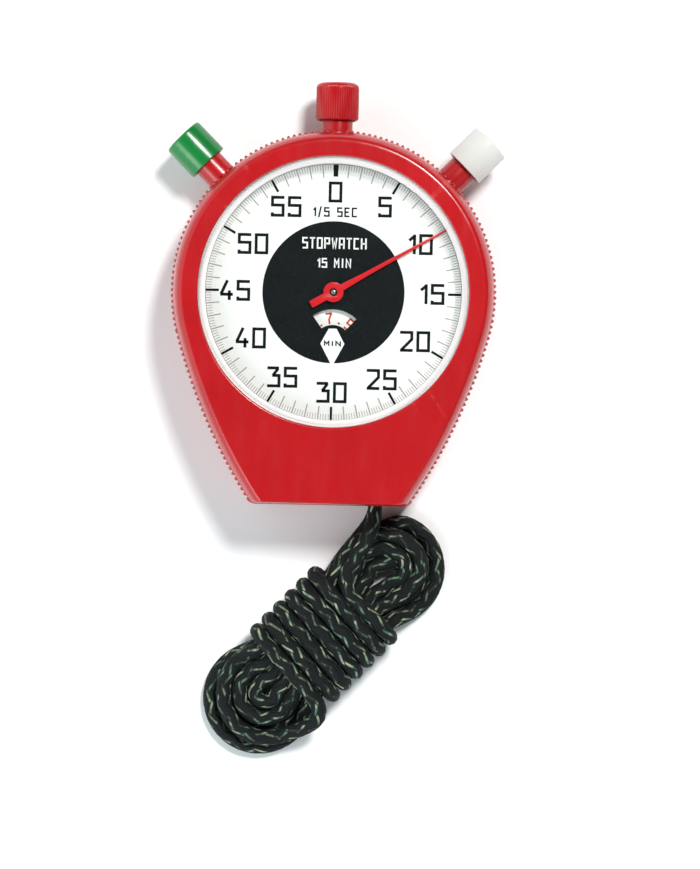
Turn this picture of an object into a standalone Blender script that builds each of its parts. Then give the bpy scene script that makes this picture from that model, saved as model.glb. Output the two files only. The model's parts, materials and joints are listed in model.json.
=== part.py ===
"""Mechanical stopwatch lying on its back: moulded case, three push buttons, movement and lanyard.

+Z points out of the dial and +Y to 12 o'clock. The origin is where the hand's axis meets the back.
Lengths are written in millimetres and meshes are built in metres. Angles are in degrees, counted
anticlockwise from +X as the dial is read.
"""
import math

import bmesh
import bpy

MM = 0.001
MERGE = 0.000001          # merge distance of turned and welded meshes, in metres
GAP = 0.3                 # clearance between two pieces that touch

# Case
CASE_R = 28.5             # round part, over the tips of the grip teeth
FLANK_R = 100.0           # convex flanks that run from the round part to the foot
FLANK_START = -15.0       # angle at which a flank leaves the round part
FOOT_Y = -37.2            # flat lower edge
FOOT_FILLET = 1.8
WALL = 2.6
FLOOR = 1.8               # thickness of the back
SPLIT_Z = 7.4             # the case halves meet on the axis of the buttons
CEILING_Z = 12.9          # underside of the front where there is no dial
TOP_Z = 17.4
SHOULDER = 2.2            # rounded edge round the front face
FOOT_SHARE = 0.2          # share of the shoulder that the foot edge has
BACK_EDGE = 1.4
OPENING_R = 23.6
SEAT_R = 25.1             # recess for dial, ring and crystal
SEAT_TOP_Z = 15.9

# Buttons: all three axes are radial and lie in the split plane
BUTTON_ANGLES = {"start": 135.0, "crown": 90.0, "reset": 45.0}
STEM_R = 0.8
WIRE_R = 0.2

# Cord
CORD_D = 2.5
CORD_X = 8.15             # where the cord leaves the foot
CORD_LOW_Z, CORD_HIGH_Z = 3.4, 6.1
HANK_LOW = (-11.7, -71.7)   # centres of the hank's two lobes
HANK_HIGH = (10.75, -48.4)
LOBE_R = 10.0

# Movement, from the back (low z) to the dial (high z)
BRIDGE_Z = (3.3, 4.3)
PLATE_Z = (10.0, 11.4)
PLATE_R = 24.4
DIAL_Z = (13.2, 13.6)
HAND_Z = (14.2, 14.5)
WINDOW_Y = -9.0           # centre of the minute disc

# Going train: every pinion has 6 leaves
LEAVES = 6
FOURTH_TEETH, FOURTH_MODULE = 60, 0.15
THIRD_TEETH, THIRD_MODULE = 45, 0.24
CENTRE_TEETH, CENTRE_MODULE = 48, 0.293
BARREL_TEETH, BARREL_MODULE = 48, 0.333
WINDING_MODULE = 0.4
CROWN_WHEEL_TEETH, RATCHET_TEETH, WINDING_LEAVES = 30, 39, 10
WINDING_Y = (16.45, 17.65)   # the winding pinion's ends along the stem

SWEEP_AT = (0.0, 0.0)
BARREL_AT = (12.9, 5.8)
HAND_ANGLE = 30.0         # the hand shows ten seconds

RED = ((0.62, 0.02, 0.03), 0.32, 0.0)
GREEN = ((0.01, 0.30, 0.08), 0.38, 0.0)
WHITE = ((0.80, 0.80, 0.77), 0.40, 0.0)
CLEAR = ((0.90, 0.93, 0.94), 0.05, 0.0)
ENAMEL = ((0.88, 0.88, 0.86), 0.45, 0.0)
BRASS = ((0.70, 0.50, 0.22), 0.30, 1.0)
STEEL = ((0.55, 0.56, 0.58), 0.28, 1.0)
BLUE_STEEL = ((0.08, 0.12, 0.30), 0.30, 1.0)
NICKEL = ((0.62, 0.60, 0.55), 0.35, 1.0)
CORD = ((0.02, 0.05, 0.03), 0.85, 0.0)


def new_collection(name):
    collection = bpy.data.collections.new(name)
    bpy.context.scene.collection.children.link(collection)
    return collection


for old in list(bpy.data.objects):
    bpy.data.objects.remove(old)
PARTS = new_collection("stopwatch")
CUTTERS = new_collection("cutters")


# ---------------------------------------------------------------- outlines

def polar(radius, angle, centre=(0.0, 0.0)):
    turn = math.radians(angle)
    return centre[0] + radius * math.cos(turn), centre[1] + radius * math.sin(turn)


def arc(radius, start, end, steps, centre=(0.0, 0.0)):
    return [polar(radius, start + (end - start) * i / steps, centre) for i in range(steps + 1)]


def circle(radius, steps, centre=(0.0, 0.0)):
    return arc(radius, 0.0, 360.0, steps, centre)[:-1]


def sector(inner, outer, start, end, steps):
    return arc(inner, start, end, steps) + arc(outer, end, start, steps)


def case_outline(inset=0.0, foot_inset=None):
    """The case seen from the front, moved inwards by inset, and by foot_inset along the foot."""
    flank_x, flank_y = polar(CASE_R - FLANK_R, FLANK_START)
    foot = FOOT_Y + (inset if foot_inset is None else foot_inset)
    fillet = max(FOOT_FILLET - inset / 2, 0.5)
    centre_y = foot + fillet
    reach = FLANK_R - inset - fillet
    centre_x = flank_x + math.sqrt(reach ** 2 - (centre_y - flank_y) ** 2)
    flank_end = math.degrees(math.atan2(centre_y - flank_y, centre_x - flank_x))
    flank = arc(FLANK_R - inset, FLANK_START, flank_end, 6, (flank_x, flank_y))
    corner = arc(fillet, flank_end, -90.0, 2, (centre_x, centre_y))[1:]
    right = flank + corner
    left = [(-x, y) for x, y in reversed(right)]
    crown = arc(CASE_R - inset, 180.0 - FLANK_START, FLANK_START, 48)[1:-1]
    return right + left + crown


def ribbon(points, width):
    """A strip of even width along a bent line, with round ends."""
    def side(path):
        edge = []
        for i, here in enumerate(path):
            before, after = path[max(i - 1, 0)], path[min(i + 1, len(path) - 1)]
            heading = math.atan2(after[1] - before[1], after[0] - before[0])
            lean = 1.0
            if 0 < i < len(path) - 1:
                first = math.atan2(here[1] - before[1], here[0] - before[0])
                second = math.atan2(after[1] - here[1], after[0] - here[0])
                heading = math.atan2(math.sin(first) + math.sin(second),
                                     math.cos(first) + math.cos(second))
                lean = abs(math.cos((second - first) / 2))
            edge.append(polar(width / 2 / lean, math.degrees(heading) - 90.0, here))
        tip = math.degrees(math.atan2(path[-1][1] - path[-2][1], path[-1][0] - path[-2][0]))
        return edge + arc(width / 2, tip - 90.0, tip + 90.0, 4, path[-1])[1:-1]
    return side(points) + side(points[::-1])


def toothed(teeth, root, tip, phase=0.0, root_share=0.52, tip_share=0.2):
    """Straight-sided teeth, one of them pointing at phase. Shares are parts of the pitch."""
    corners = ((-root_share / 2, root), (-tip_share / 2, tip), (tip_share / 2, tip), (root_share / 2, root))
    return [polar(radius, phase + (tooth + share) * 360.0 / teeth)
            for tooth in range(teeth) for share, radius in corners]


def gear(teeth, module, phase=0.0):
    return toothed(teeth, module * (teeth / 2 - 1.15), module * (teeth / 2 + 0.9), phase)


def windows(inner, outer, count, arm=16.0):
    """Openings between the arms of a wheel."""
    pitch = 360.0 / count
    return [sector(inner, outer, i * pitch + arm / 2, (i + 1) * pitch - arm / 2, 4) for i in range(count)]


# ---------------------------------------------------------------- solids

def link(name, data, collection):
    made = bpy.data.objects.new(name, data)
    collection.objects.link(made)
    if collection is CUTTERS:
        made.hide_render = True
        made.display_type = "WIRE"
    return made


def paint(made, finish):
    """Each piece has a material of its own, named for the piece."""
    colour, roughness, metallic = finish
    skin = bpy.data.materials.new(made.name)
    skin.use_nodes = True
    shader = skin.node_tree.nodes["Principled BSDF"]
    shader.inputs["Base Color"].default_value = (*colour, 1.0)
    shader.inputs["Roughness"].default_value = roughness
    shader.inputs["Metallic"].default_value = metallic
    made.data.materials.append(skin)
    return made


def as_mesh(curve_object, name, collection):
    """Turn a curve drawn in millimetres into a welded mesh object in metres."""
    evaluated = curve_object.evaluated_get(bpy.context.evaluated_depsgraph_get())
    mesh = bpy.data.meshes.new_from_object(evaluated)
    build = bmesh.new()
    build.from_mesh(mesh)
    bmesh.ops.scale(build, vec=(MM, MM, MM), verts=build.verts)
    bmesh.ops.remove_doubles(build, verts=build.verts, dist=MERGE)
    bmesh.ops.recalc_face_normals(build, faces=build.faces)
    build.to_mesh(mesh)
    build.free()
    bpy.data.objects.remove(curve_object)
    return link(name, mesh, collection)


def flat(name, loops, levels, at=(0.0, 0.0), finish=None):
    """A flat piece between two levels. The first loop is its outline and the others are holes."""
    low, high = levels
    collection = PARTS if finish else CUTTERS
    curve = bpy.data.curves.new(name, "CURVE")
    curve.dimensions = "2D"
    curve.fill_mode = "BOTH"
    curve.extrude = (high - low) / 2
    for loop in loops:
        spline = curve.splines.new("POLY")
        spline.points.add(len(loop) - 1)
        for point, (x, y) in zip(spline.points, loop):
            point.co = (x, y, 0.0, 1.0)
        spline.use_cyclic_u = True
    made = as_mesh(link("guide", curve, CUTTERS), name, collection)
    made.location = (at[0] * MM, at[1] * MM, (low + high) / 2 * MM)
    return paint(made, finish) if finish else made


def turned(name, profile, steps, finish=None, closed=False, at=(0.0, 0.0)):
    """A turned piece. The profile, (radius, height), runs down the outside and up the inside."""
    mesh = bpy.data.meshes.new(name)
    count = len(profile)
    edges = [(i, (i + 1) % count) for i in range(count if closed else count - 1)]
    mesh.from_pydata([(radius * MM, 0.0, height * MM) for radius, height in profile], edges, [])
    made = link(name, mesh, PARTS if finish else CUTTERS)
    made.location = (at[0] * MM, at[1] * MM, 0.0)
    screw = made.modifiers.new("Turn", "SCREW")
    screw.steps = screw.render_steps = steps
    screw.use_merge_vertices = True
    screw.merge_threshold = MERGE
    return paint(made, finish) if finish else made


def rod(name, radius, levels, steps=16, finish=None, at=(0.0, 0.0)):
    low, high = levels
    return turned(name, [(0.0, high), (radius, high), (radius, low), (0.0, low)], steps, finish, at=at)


def ring(name, inner, outer, levels, steps=24, finish=None):
    low, high = levels
    profile = [(outer, high), (outer, low), (inner, low), (inner, high)]
    return turned(name, profile, steps, finish, closed=True)


def stack(name, sections, finish, at=(0.0, 0.0)):
    """A piece lofted through outlines, (height, outline), that all have as many points."""
    build = bmesh.new()
    rings = [[build.verts.new((x * MM, y * MM, height * MM)) for x, y in outline]
             for height, outline in sections]
    for low, high in zip(rings, rings[1:]):
        for i in range(len(low)):
            build.faces.new((low[i - 1], low[i], high[i], high[i - 1]))
    build.faces.new(rings[0][::-1])
    build.faces.new(rings[-1])
    mesh = bpy.data.meshes.new(name)
    build.to_mesh(mesh)
    build.free()
    made = link(name, mesh, PARTS)
    made.location = (at[0] * MM, at[1] * MM, 0.0)
    return paint(made, finish)


def wire(name, points, radius, resolution, finish):
    """A bent wire or cord through points in millimetres."""
    curve = bpy.data.curves.new(name, "CURVE")
    curve.dimensions = "3D"
    curve.bevel_depth = radius * MM
    curve.bevel_resolution = resolution
    curve.use_fill_caps = True
    spline = curve.splines.new("POLY")
    spline.points.add(len(points) - 1)
    for point, (x, y, z) in zip(spline.points, points):
        point.co = (x * MM, y * MM, z * MM, 1.0)
    return paint(link(name, curve, PARTS), finish)


def boolean(made, tools, operation="DIFFERENCE"):
    for tool in tools:
        step = made.modifiers.new(operation.title(), "BOOLEAN")
        step.operation = operation
        step.object = tool


def along(made, angle):
    """Lay a piece modelled along Z on the button axis at angle, its height being the distance out."""
    made.rotation_euler = (-math.pi / 2, 0.0, math.radians(angle - 90.0))
    made.location = (0.0, 0.0, SPLIT_Z * MM)
    return made


def edge_round(made, height, width, segments):
    """Round the outer edge that lies at a height."""
    mesh = made.data
    level = height * MM - made.location.z
    weights = mesh.attributes.new("bevel_weight_edge", "FLOAT", "EDGE")
    for edge in mesh.edges:
        ends = [mesh.vertices[i].co for i in edge.vertices]
        if all(abs(end.z - level) < MERGE for end in ends):
            weights.data[edge.index].value = 1.0
    bevel = made.modifiers.new("Edge", "BEVEL")
    bevel.limit_method = "WEIGHT"
    bevel.width = width * MM
    bevel.segments = segments


# ---------------------------------------------------------------- case

BOSSES = [(17.0, -21.0), (-17.0, -21.0), (2.6, -32.0), (-9.5, -31.6)]
BOSS_R = 2.0


def bush_holes():
    """Cutters for the three bushes, which the case halves hold between them."""
    holes = []
    for name, angle in BUTTON_ANGLES.items():
        bore, seat = 2.75 + GAP, 3.6 + GAP
        holes.append(along(turned(name + "_hole", [(0.0, 31.0), (bore, 31.0), (bore, 26.3), (seat, 26.3),
                                                   (seat, 24.0), (0.0, 24.0)], 16), angle))
    return holes


def cord_slot():
    """Cutter for the slot in the foot, open at the top edge of the back case."""
    slot = flat("cord_slot", [ribbon([(0.0, CORD_LOW_Z), (0.0, SPLIT_Z + 3.0)], CORD_D + 0.5)], (31.0, 40.0))
    slot.rotation_euler = (math.pi / 2, 0.0, 0.0)
    slot.location = (CORD_X * MM, -35.5 * MM, 0.0)
    return slot


def make_case():
    holes = bush_holes()
    rim = case_outline()
    sections = [(SPLIT_Z + GAP / 2, rim)]
    for swing in (0.0, 30.0, 60.0, 90.0):
        drop, inset = polar(SHOULDER, swing)[1] - SHOULDER, SHOULDER - polar(SHOULDER, swing)[0]
        sections.append((TOP_Z + drop, case_outline(inset, FOOT_SHARE * inset)))
    front = stack("front_case", sections, RED)
    bosses = [circle(BOSS_R, 12, at) for at in BOSSES]
    hollow = flat("front_hollow", [case_outline(WALL)] + bosses, (SPLIT_Z - 1.0, CEILING_Z))
    opening = turned("dial_opening", [(0.0, TOP_Z + 1.0), (OPENING_R, TOP_Z + 1.0), (OPENING_R, SEAT_TOP_Z),
                                      (SEAT_R, SEAT_TOP_Z), (SEAT_R, CEILING_Z - 1.0),
                                      (0.0, CEILING_Z - 1.0)], 64)
    pilots = [rod("pilot_%d" % i, 1.0, (SPLIT_Z - 1.0, 12.4), 12, at=at) for i, at in enumerate(BOSSES)]
    boolean(front, [hollow, opening] + holes + pilots)

    back = stack("back_case", [(0.0, rim), (SPLIT_Z - GAP / 2, rim)], RED)
    edge_round(back, 0.0, BACK_EDGE, 2)
    tray = flat("back_hollow", [case_outline(WALL)] + bosses, (FLOOR, SPLIT_Z + 1.0))
    bore, sink = 1.0, 1.7
    bores = [turned("bore_%d" % i, [(0.0, SPLIT_Z + 1.0), (bore, SPLIT_Z + 1.0), (bore, 1.4), (sink, 1.4),
                                    (sink, -1.0), (0.0, -1.0)], 16, at=at) for i, at in enumerate(BOSSES)]
    boolean(back, [tray, cord_slot()] + holes + bores)

    for i, at in enumerate(BOSSES):
        screw = turned("case_screw_%d" % (i + 1), [(0.0, 11.8), (0.7, 11.8), (0.7, 1.3), (1.4, 1.3),
                                                   (1.4, 0.3), (0.0, 0.3)], 16, STEEL, at=at)
        slot = flat("screw_slot_%d" % i, [[(-2.0, -0.2), (2.0, -0.2), (2.0, 0.2), (-2.0, 0.2)]],
                    (0.0, 0.8), at)
        boolean(screw, [slot])
    bar = rod("cord_bar", 0.8, (-3.2, 3.2), 12, STEEL)
    bar.rotation_euler = (0.0, math.pi / 2, 0.0)
    bar.location = (CORD_X * MM, -33.4 * MM, (CORD_LOW_Z + CORD_HIGH_Z) / 2 * MM)


def make_dial():
    turned("crystal", [(0.0, 17.1), (22.4, 17.1), (23.3, 16.5), (23.3, 15.7), (24.8, 15.7), (24.8, 15.0),
                       (22.9, 15.0), (22.9, 15.7), (0.0, 15.7)], 48, CLEAR)
    ring("crystal_ring", 23.45, 24.8, (DIAL_Z[1] + 0.1, 14.9), 48, ENAMEL)
    window = [(x, y + WINDOW_Y) for x, y in sector(3.3, 6.0, 47.0, 126.0, 8)]
    flat("dial", [circle(24.8, 64), circle(1.0, 12), window], DIAL_Z, finish=ENAMEL)
    flat("minute_disc", [circle(6.4, 40), circle(0.75, 12)], (12.3, 12.6), (0.0, WINDOW_Y), ENAMEL)
    flat("minute_wheel", [toothed(15, 6.6, 7.5, 106.0, 0.3, 0.1), circle(0.75, 12)], (11.7, 12.1),
         (0.0, WINDOW_Y), BRASS)
    back = 180.0 + HAND_ANGLE
    finger = toothed(1, 1.15, 1.9, back, 0.25, 0.12) + arc(1.15, back + 60.0, back + 300.0, 10)
    flat("minute_finger", [finger, circle(0.55, 12)], (11.7, 12.1), finish=STEEL)
    turn = math.radians(HAND_ANGLE)
    tip, hub, tail, wide = 22.5, 1.75, 4.5, 0.65
    hand = ([(tip, -0.17), (tip, 0.17)] + arc(hub, 20.0, 158.0, 8) + [(-tail, wide), (-tail, -wide)]
            + arc(hub, 202.0, 340.0, 8))
    hand = [(x * math.cos(turn) - y * math.sin(turn), x * math.sin(turn) + y * math.cos(turn))
            for x, y in hand]
    flat("sweep_hand", [hand, circle(0.5, 12)], HAND_Z, finish=RED)


# ---------------------------------------------------------------- buttons

def make_button(name, angle, cap_from, cap_to, cap_r, neck_r, stem_from, finish):
    """A cap that slides over its neck, its stem through the neck, and the spring between them."""
    inside = cap_to - 1.2
    bore = neck_r + GAP + 0.05
    edge = 0.5
    cap = [(0.0, cap_to), (cap_r - edge, cap_to), (cap_r - 0.15, cap_to - 0.15), (cap_r, cap_to - edge),
           (cap_r, cap_from), (bore, cap_from), (bore, inside), (1.5, inside), (1.5, inside - 1.0),
           (STEM_R + GAP, inside - 1.0), (STEM_R + GAP, inside), (0.0, inside)]
    along(turned(name + "_cap", cap, 24, finish), angle)
    along(rod(name + "_stem" if name != "crown" else "winding_stem", STEM_R, (stem_from, inside - GAP),
              16, STEEL), angle)
    neck_top = inside - 2.9
    neck = [(neck_r, neck_top), (neck_r, 26.0), (3.6, 26.0), (3.6, 24.7), (STEM_R + GAP, 24.7),
            (STEM_R + GAP, neck_top)]
    along(turned(name + "_bush", neck, 20, RED, closed=True), angle)
    turns, per_turn, coil_r = 3, 10, 2.1
    start, end = neck_top + WIRE_R + 0.1, inside - WIRE_R - 0.1
    coil = []
    for i in range(turns * per_turn + 1):
        share = i / (turns * per_turn)
        coil.append((*polar(coil_r, 360.0 * i / per_turn), start + (end - start) * share))
    along(wire(name + "_spring", coil, WIRE_R, 1, STEEL), angle)


def make_buttons():
    angles = BUTTON_ANGLES
    make_button("start", angles["start"], 31.8, 38.4, 3.7, 2.7, 21.0, GREEN)
    make_button("reset", angles["reset"], 31.8, 38.4, 3.7, 2.7, 23.8, WHITE)
    make_button("crown", angles["crown"], 30.3, 37.0, 3.75, 2.75, 12.4, RED)
    along(ring("stem_sleeve", STEM_R + 0.2, 1.6, (12.1, 13.3), 16, STEEL), angles["crown"])


# ---------------------------------------------------------------- train

def crossing(first, first_reach, second, second_reach):
    """The point at the two distances from two centres, on the side towards the foot."""
    dx, dy = second[0] - first[0], second[1] - first[1]
    span = math.hypot(dx, dy)
    on = (first_reach ** 2 - second_reach ** 2 + span ** 2) / (2 * span)
    off = math.sqrt(first_reach ** 2 - on ** 2)
    return first[0] + (on * dx + off * dy) / span, first[1] + (on * dy - off * dx) / span


def mesh_distance(teeth, leaves, module):
    return module * (teeth + leaves) / 2


def meshing_phase(driver_at, driver_teeth, driver_phase, at, teeth):
    """The phase that puts a gap where the other gear has a tooth."""
    facing = math.degrees(math.atan2(at[1] - driver_at[1], at[0] - driver_at[0]))
    lead = (facing - driver_phase) * driver_teeth / 360.0
    return facing + 180.0 - (0.5 - lead) * 360.0 / teeth


CENTRE_AT = polar(mesh_distance(BARREL_TEETH, LEAVES, BARREL_MODULE), -105.0, BARREL_AT)
THIRD_AT = crossing(SWEEP_AT, mesh_distance(THIRD_TEETH, LEAVES, THIRD_MODULE),
                    CENTRE_AT, mesh_distance(CENTRE_TEETH, LEAVES, CENTRE_MODULE))
ESCAPE_AT = polar(mesh_distance(FOURTH_TEETH, LEAVES, FOURTH_MODULE), 195.0)
ESCAPE_LINE = 214.8       # direction from the escape wheel over the fork to the balance
PALLET_AT = polar(3.9, ESCAPE_LINE, ESCAPE_AT)
BALANCE_AT = polar(7.6, ESCAPE_LINE, PALLET_AT)
WINDING_REACH = mesh_distance(RATCHET_TEETH, CROWN_WHEEL_TEETH, WINDING_MODULE)
CROWN_WHEEL_AT = (0.0, BARREL_AT[1] + math.sqrt(WINDING_REACH ** 2 - BARREL_AT[0] ** 2))
CLICK_AT = polar(10.2, 108.0, BARREL_AT)
PIVOT_Z = (3.7, 10.6)     # ends of every arbor, in the bridges and the main plate
SHOULDER_Z = (4.45, 9.85)


def arbor(name, phase, module, leaves_z, arbor_r, at, top=None):
    """A pinion cut on its arbor, with a pivot at each end."""
    leaves = gear(LEAVES, module, phase)

    def plain(radius):
        return toothed(LEAVES, radius, radius, phase)

    low, high = leaves_z
    sections = [(PIVOT_Z[0], plain(0.25)), (SHOULDER_Z[0], plain(0.25)), (SHOULDER_Z[0], plain(arbor_r)),
                (low, plain(arbor_r)), (low, leaves), (high, leaves), (high, plain(arbor_r))]
    if top:
        sections += [(top, plain(arbor_r))]
    else:
        sections += [(SHOULDER_Z[1], plain(arbor_r)), (SHOULDER_Z[1], plain(0.25)), (PIVOT_Z[1], plain(0.25))]
    return stack(name, sections, STEEL, at)


def wheel(name, outline, levels, holes, at, finish, pinion):
    """A wheel riveted on its arbor, which makes them one piece."""
    made = flat(name, [outline] + holes, levels, at, finish)
    boolean(made, [pinion], "UNION")
    pinion.data.materials.clear()
    PARTS.objects.unlink(pinion)
    CUTTERS.objects.link(pinion)
    pinion.hide_render = True
    pinion.display_type = "WIRE"
    return made


def make_train():
    fourth_phase = 0.0
    fourth = gear(FOURTH_TEETH, FOURTH_MODULE, fourth_phase)
    sweep = arbor("fourth_arbor", fourth_phase, THIRD_MODULE, (6.9, 8.2), 0.4, SWEEP_AT, top=14.7)
    wheel("fourth_wheel", fourth, (8.6, 9.1), windows(1.3, 3.6, 4), SWEEP_AT, BRASS, sweep)

    escape_phase = meshing_phase(SWEEP_AT, FOURTH_TEETH, fourth_phase, ESCAPE_AT, LEAVES)
    pinion = arbor("escape_arbor", escape_phase, FOURTH_MODULE, (8.3, 9.4), 0.25, ESCAPE_AT)
    teeth = toothed(15, 2.1, 2.8, 0.0, 0.6, 0.12)
    wheel("escape_wheel", teeth, (6.3, 6.7), windows(0.8, 1.7, 4, 24.0), ESCAPE_AT, BRASS, pinion)

    third_phase = meshing_phase(SWEEP_AT, LEAVES, fourth_phase, THIRD_AT, THIRD_TEETH)
    third = gear(THIRD_TEETH, THIRD_MODULE, third_phase)
    pinion = arbor("third_arbor", third_phase, CENTRE_MODULE, (5.4, 6.8), 0.45, THIRD_AT)
    wheel("third_wheel", third, (7.2, 7.7), windows(1.5, 4.3, 4), THIRD_AT, BRASS, pinion)

    centre_phase = meshing_phase(THIRD_AT, LEAVES, third_phase, CENTRE_AT, CENTRE_TEETH)
    centre = gear(CENTRE_TEETH, CENTRE_MODULE, centre_phase)
    pinion = arbor("centre_arbor", centre_phase, BARREL_MODULE, (8.0, 9.6), 0.5, CENTRE_AT)
    wheel("centre_wheel", centre, (5.8, 6.3), windows(1.7, 5.9, 4), CENTRE_AT, BRASS, pinion)

    barrel_phase = meshing_phase(CENTRE_AT, LEAVES, centre_phase, BARREL_AT, BARREL_TEETH)
    drum = turned("barrel_drum", [(7.3, 9.0), (7.3, 6.7), (6.9, 6.7), (6.9, 8.7), (1.5, 8.7), (1.5, 9.0)],
                  36, closed=True, at=BARREL_AT)
    barrel = flat("barrel", [gear(BARREL_TEETH, BARREL_MODULE, barrel_phase), circle(7.1, 36)],
                  (8.5, 9.1), BARREL_AT, BRASS)
    boolean(barrel, [drum], "UNION")


def make_winding():
    crown_phase = 90.0 + 180.0 / CROWN_WHEEL_TEETH
    flat("crown_wheel", [gear(CROWN_WHEEL_TEETH, WINDING_MODULE, crown_phase), circle(1.3, 16)],
         (4.7, 5.5), CROWN_WHEEL_AT, STEEL)
    ratchet_phase = meshing_phase(CROWN_WHEEL_AT, CROWN_WHEEL_TEETH, crown_phase, BARREL_AT, RATCHET_TEETH)
    flat("ratchet_wheel", [gear(RATCHET_TEETH, WINDING_MODULE, ratchet_phase), circle(1.15, 16)],
         (4.7, 5.3), BARREL_AT, STEEL)
    turned("barrel_arbor", [(0.0, 10.6), (0.5, 10.6), (0.5, 9.8), (1.0, 9.8), (1.0, 4.45), (0.6, 4.45),
                            (0.6, 3.7), (0.0, 3.7)], 16, STEEL, at=BARREL_AT)
    pinion = flat("winding_pinion", [gear(WINDING_LEAVES, WINDING_MODULE, 90.0), circle(STEM_R + 0.2, 16)],
                  WINDING_Y, finish=STEEL)
    along(pinion, BUTTON_ANGLES["crown"])
    pinion.location.y = sum(WINDING_Y) / 2 * MM

    turns, per_turn, thick = 4, 12, 0.35
    inner, outer = 1.6, 6.3
    count = turns * per_turn
    line = [(inner + (outer - inner) * i / count, 360.0 * i / per_turn) for i in range(count + 1)]
    strip = [polar(r + thick / 2, a) for r, a in line] + [polar(r - thick / 2, a) for r, a in line[::-1]]
    flat("mainspring", [strip], (6.8, 8.4), BARREL_AT, BLUE_STEEL)

    nose = polar(9.1, 90.0, BARREL_AT)
    tail = polar(11.3, 118.0, BARREL_AT)
    flat("click", [ribbon([nose, CLICK_AT, tail], 1.4), circle(0.4, 12, CLICK_AT)], (4.7, 5.3), finish=STEEL)
    blade = [polar(12.2, 113.0, BARREL_AT), polar(12.4, 100.0, BARREL_AT), polar(11.3, 85.0, BARREL_AT)]
    flat("click_spring", [ribbon(blade, 0.35)], (4.75, 5.25), finish=BLUE_STEEL)


def make_escapement():
    across = ESCAPE_LINE - 90.0
    reach_back = polar(1.25, ESCAPE_LINE + 180.0, PALLET_AT)
    arms = [polar(2.25, across, reach_back), polar(0.9, across, PALLET_AT), PALLET_AT,
            polar(0.9, across + 180.0, PALLET_AT), polar(2.25, across + 180.0, reach_back)]
    fork_end = polar(5.6, ESCAPE_LINE, PALLET_AT)
    anchor = ribbon(arms, 0.8)
    fork = flat("fork_lever", [ribbon([PALLET_AT, fork_end], 0.8)], (6.3, 6.7))
    staff = turned("pallet_staff", [(0.0, 10.6), (0.2, 10.6), (0.2, 9.85), (0.35, 9.85), (0.35, 4.45),
                                    (0.2, 4.45), (0.2, 3.7), (0.0, 3.7)], 12, at=PALLET_AT)
    pallets = flat("pallet_fork", [anchor], (6.3, 6.7), finish=STEEL)
    boolean(pallets, [fork, staff], "UNION")

    flat("balance_wheel", [circle(6.5, 48), circle(0.75, 12)] + windows(1.5, 5.7, 2, 20.0), (5.0, 5.6),
         BALANCE_AT, BRASS)
    turned("balance_staff", [(0.0, 10.6), (0.2, 10.6), (0.2, 9.85), (0.45, 9.85), (0.45, 7.6), (1.6, 7.6),
                             (1.6, 7.1), (0.45, 7.1), (0.45, 4.45), (0.2, 4.45), (0.2, 3.7), (0.0, 3.7)],
           20, STEEL, at=BALANCE_AT)
    turns, per_turn = 4, 14
    spiral = []
    for i in range(turns * per_turn + 1):
        x, y = polar(0.9 + 2.4 * i / (turns * per_turn), 360.0 * i / per_turn, BALANCE_AT)
        spiral.append((x, y, 4.68))
    wire("hairspring", spiral, 0.09, 0, BLUE_STEEL)


# ---------------------------------------------------------------- frame of the movement

PILLARS = {"barrel_bridge": [(-4.8, 19.6), (21.9, -0.4)],
           "train_bridge": [(0.5, -20.5), (19.0, -11.5)],
           "balance_cock": [(-10.5, -17.0)]}
START_PIVOT = (-17.6, 8.6)
STOP_PIVOT = (-10.5, 10.0)
HAMMER_STUD = (4.25, 4.25)


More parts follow.
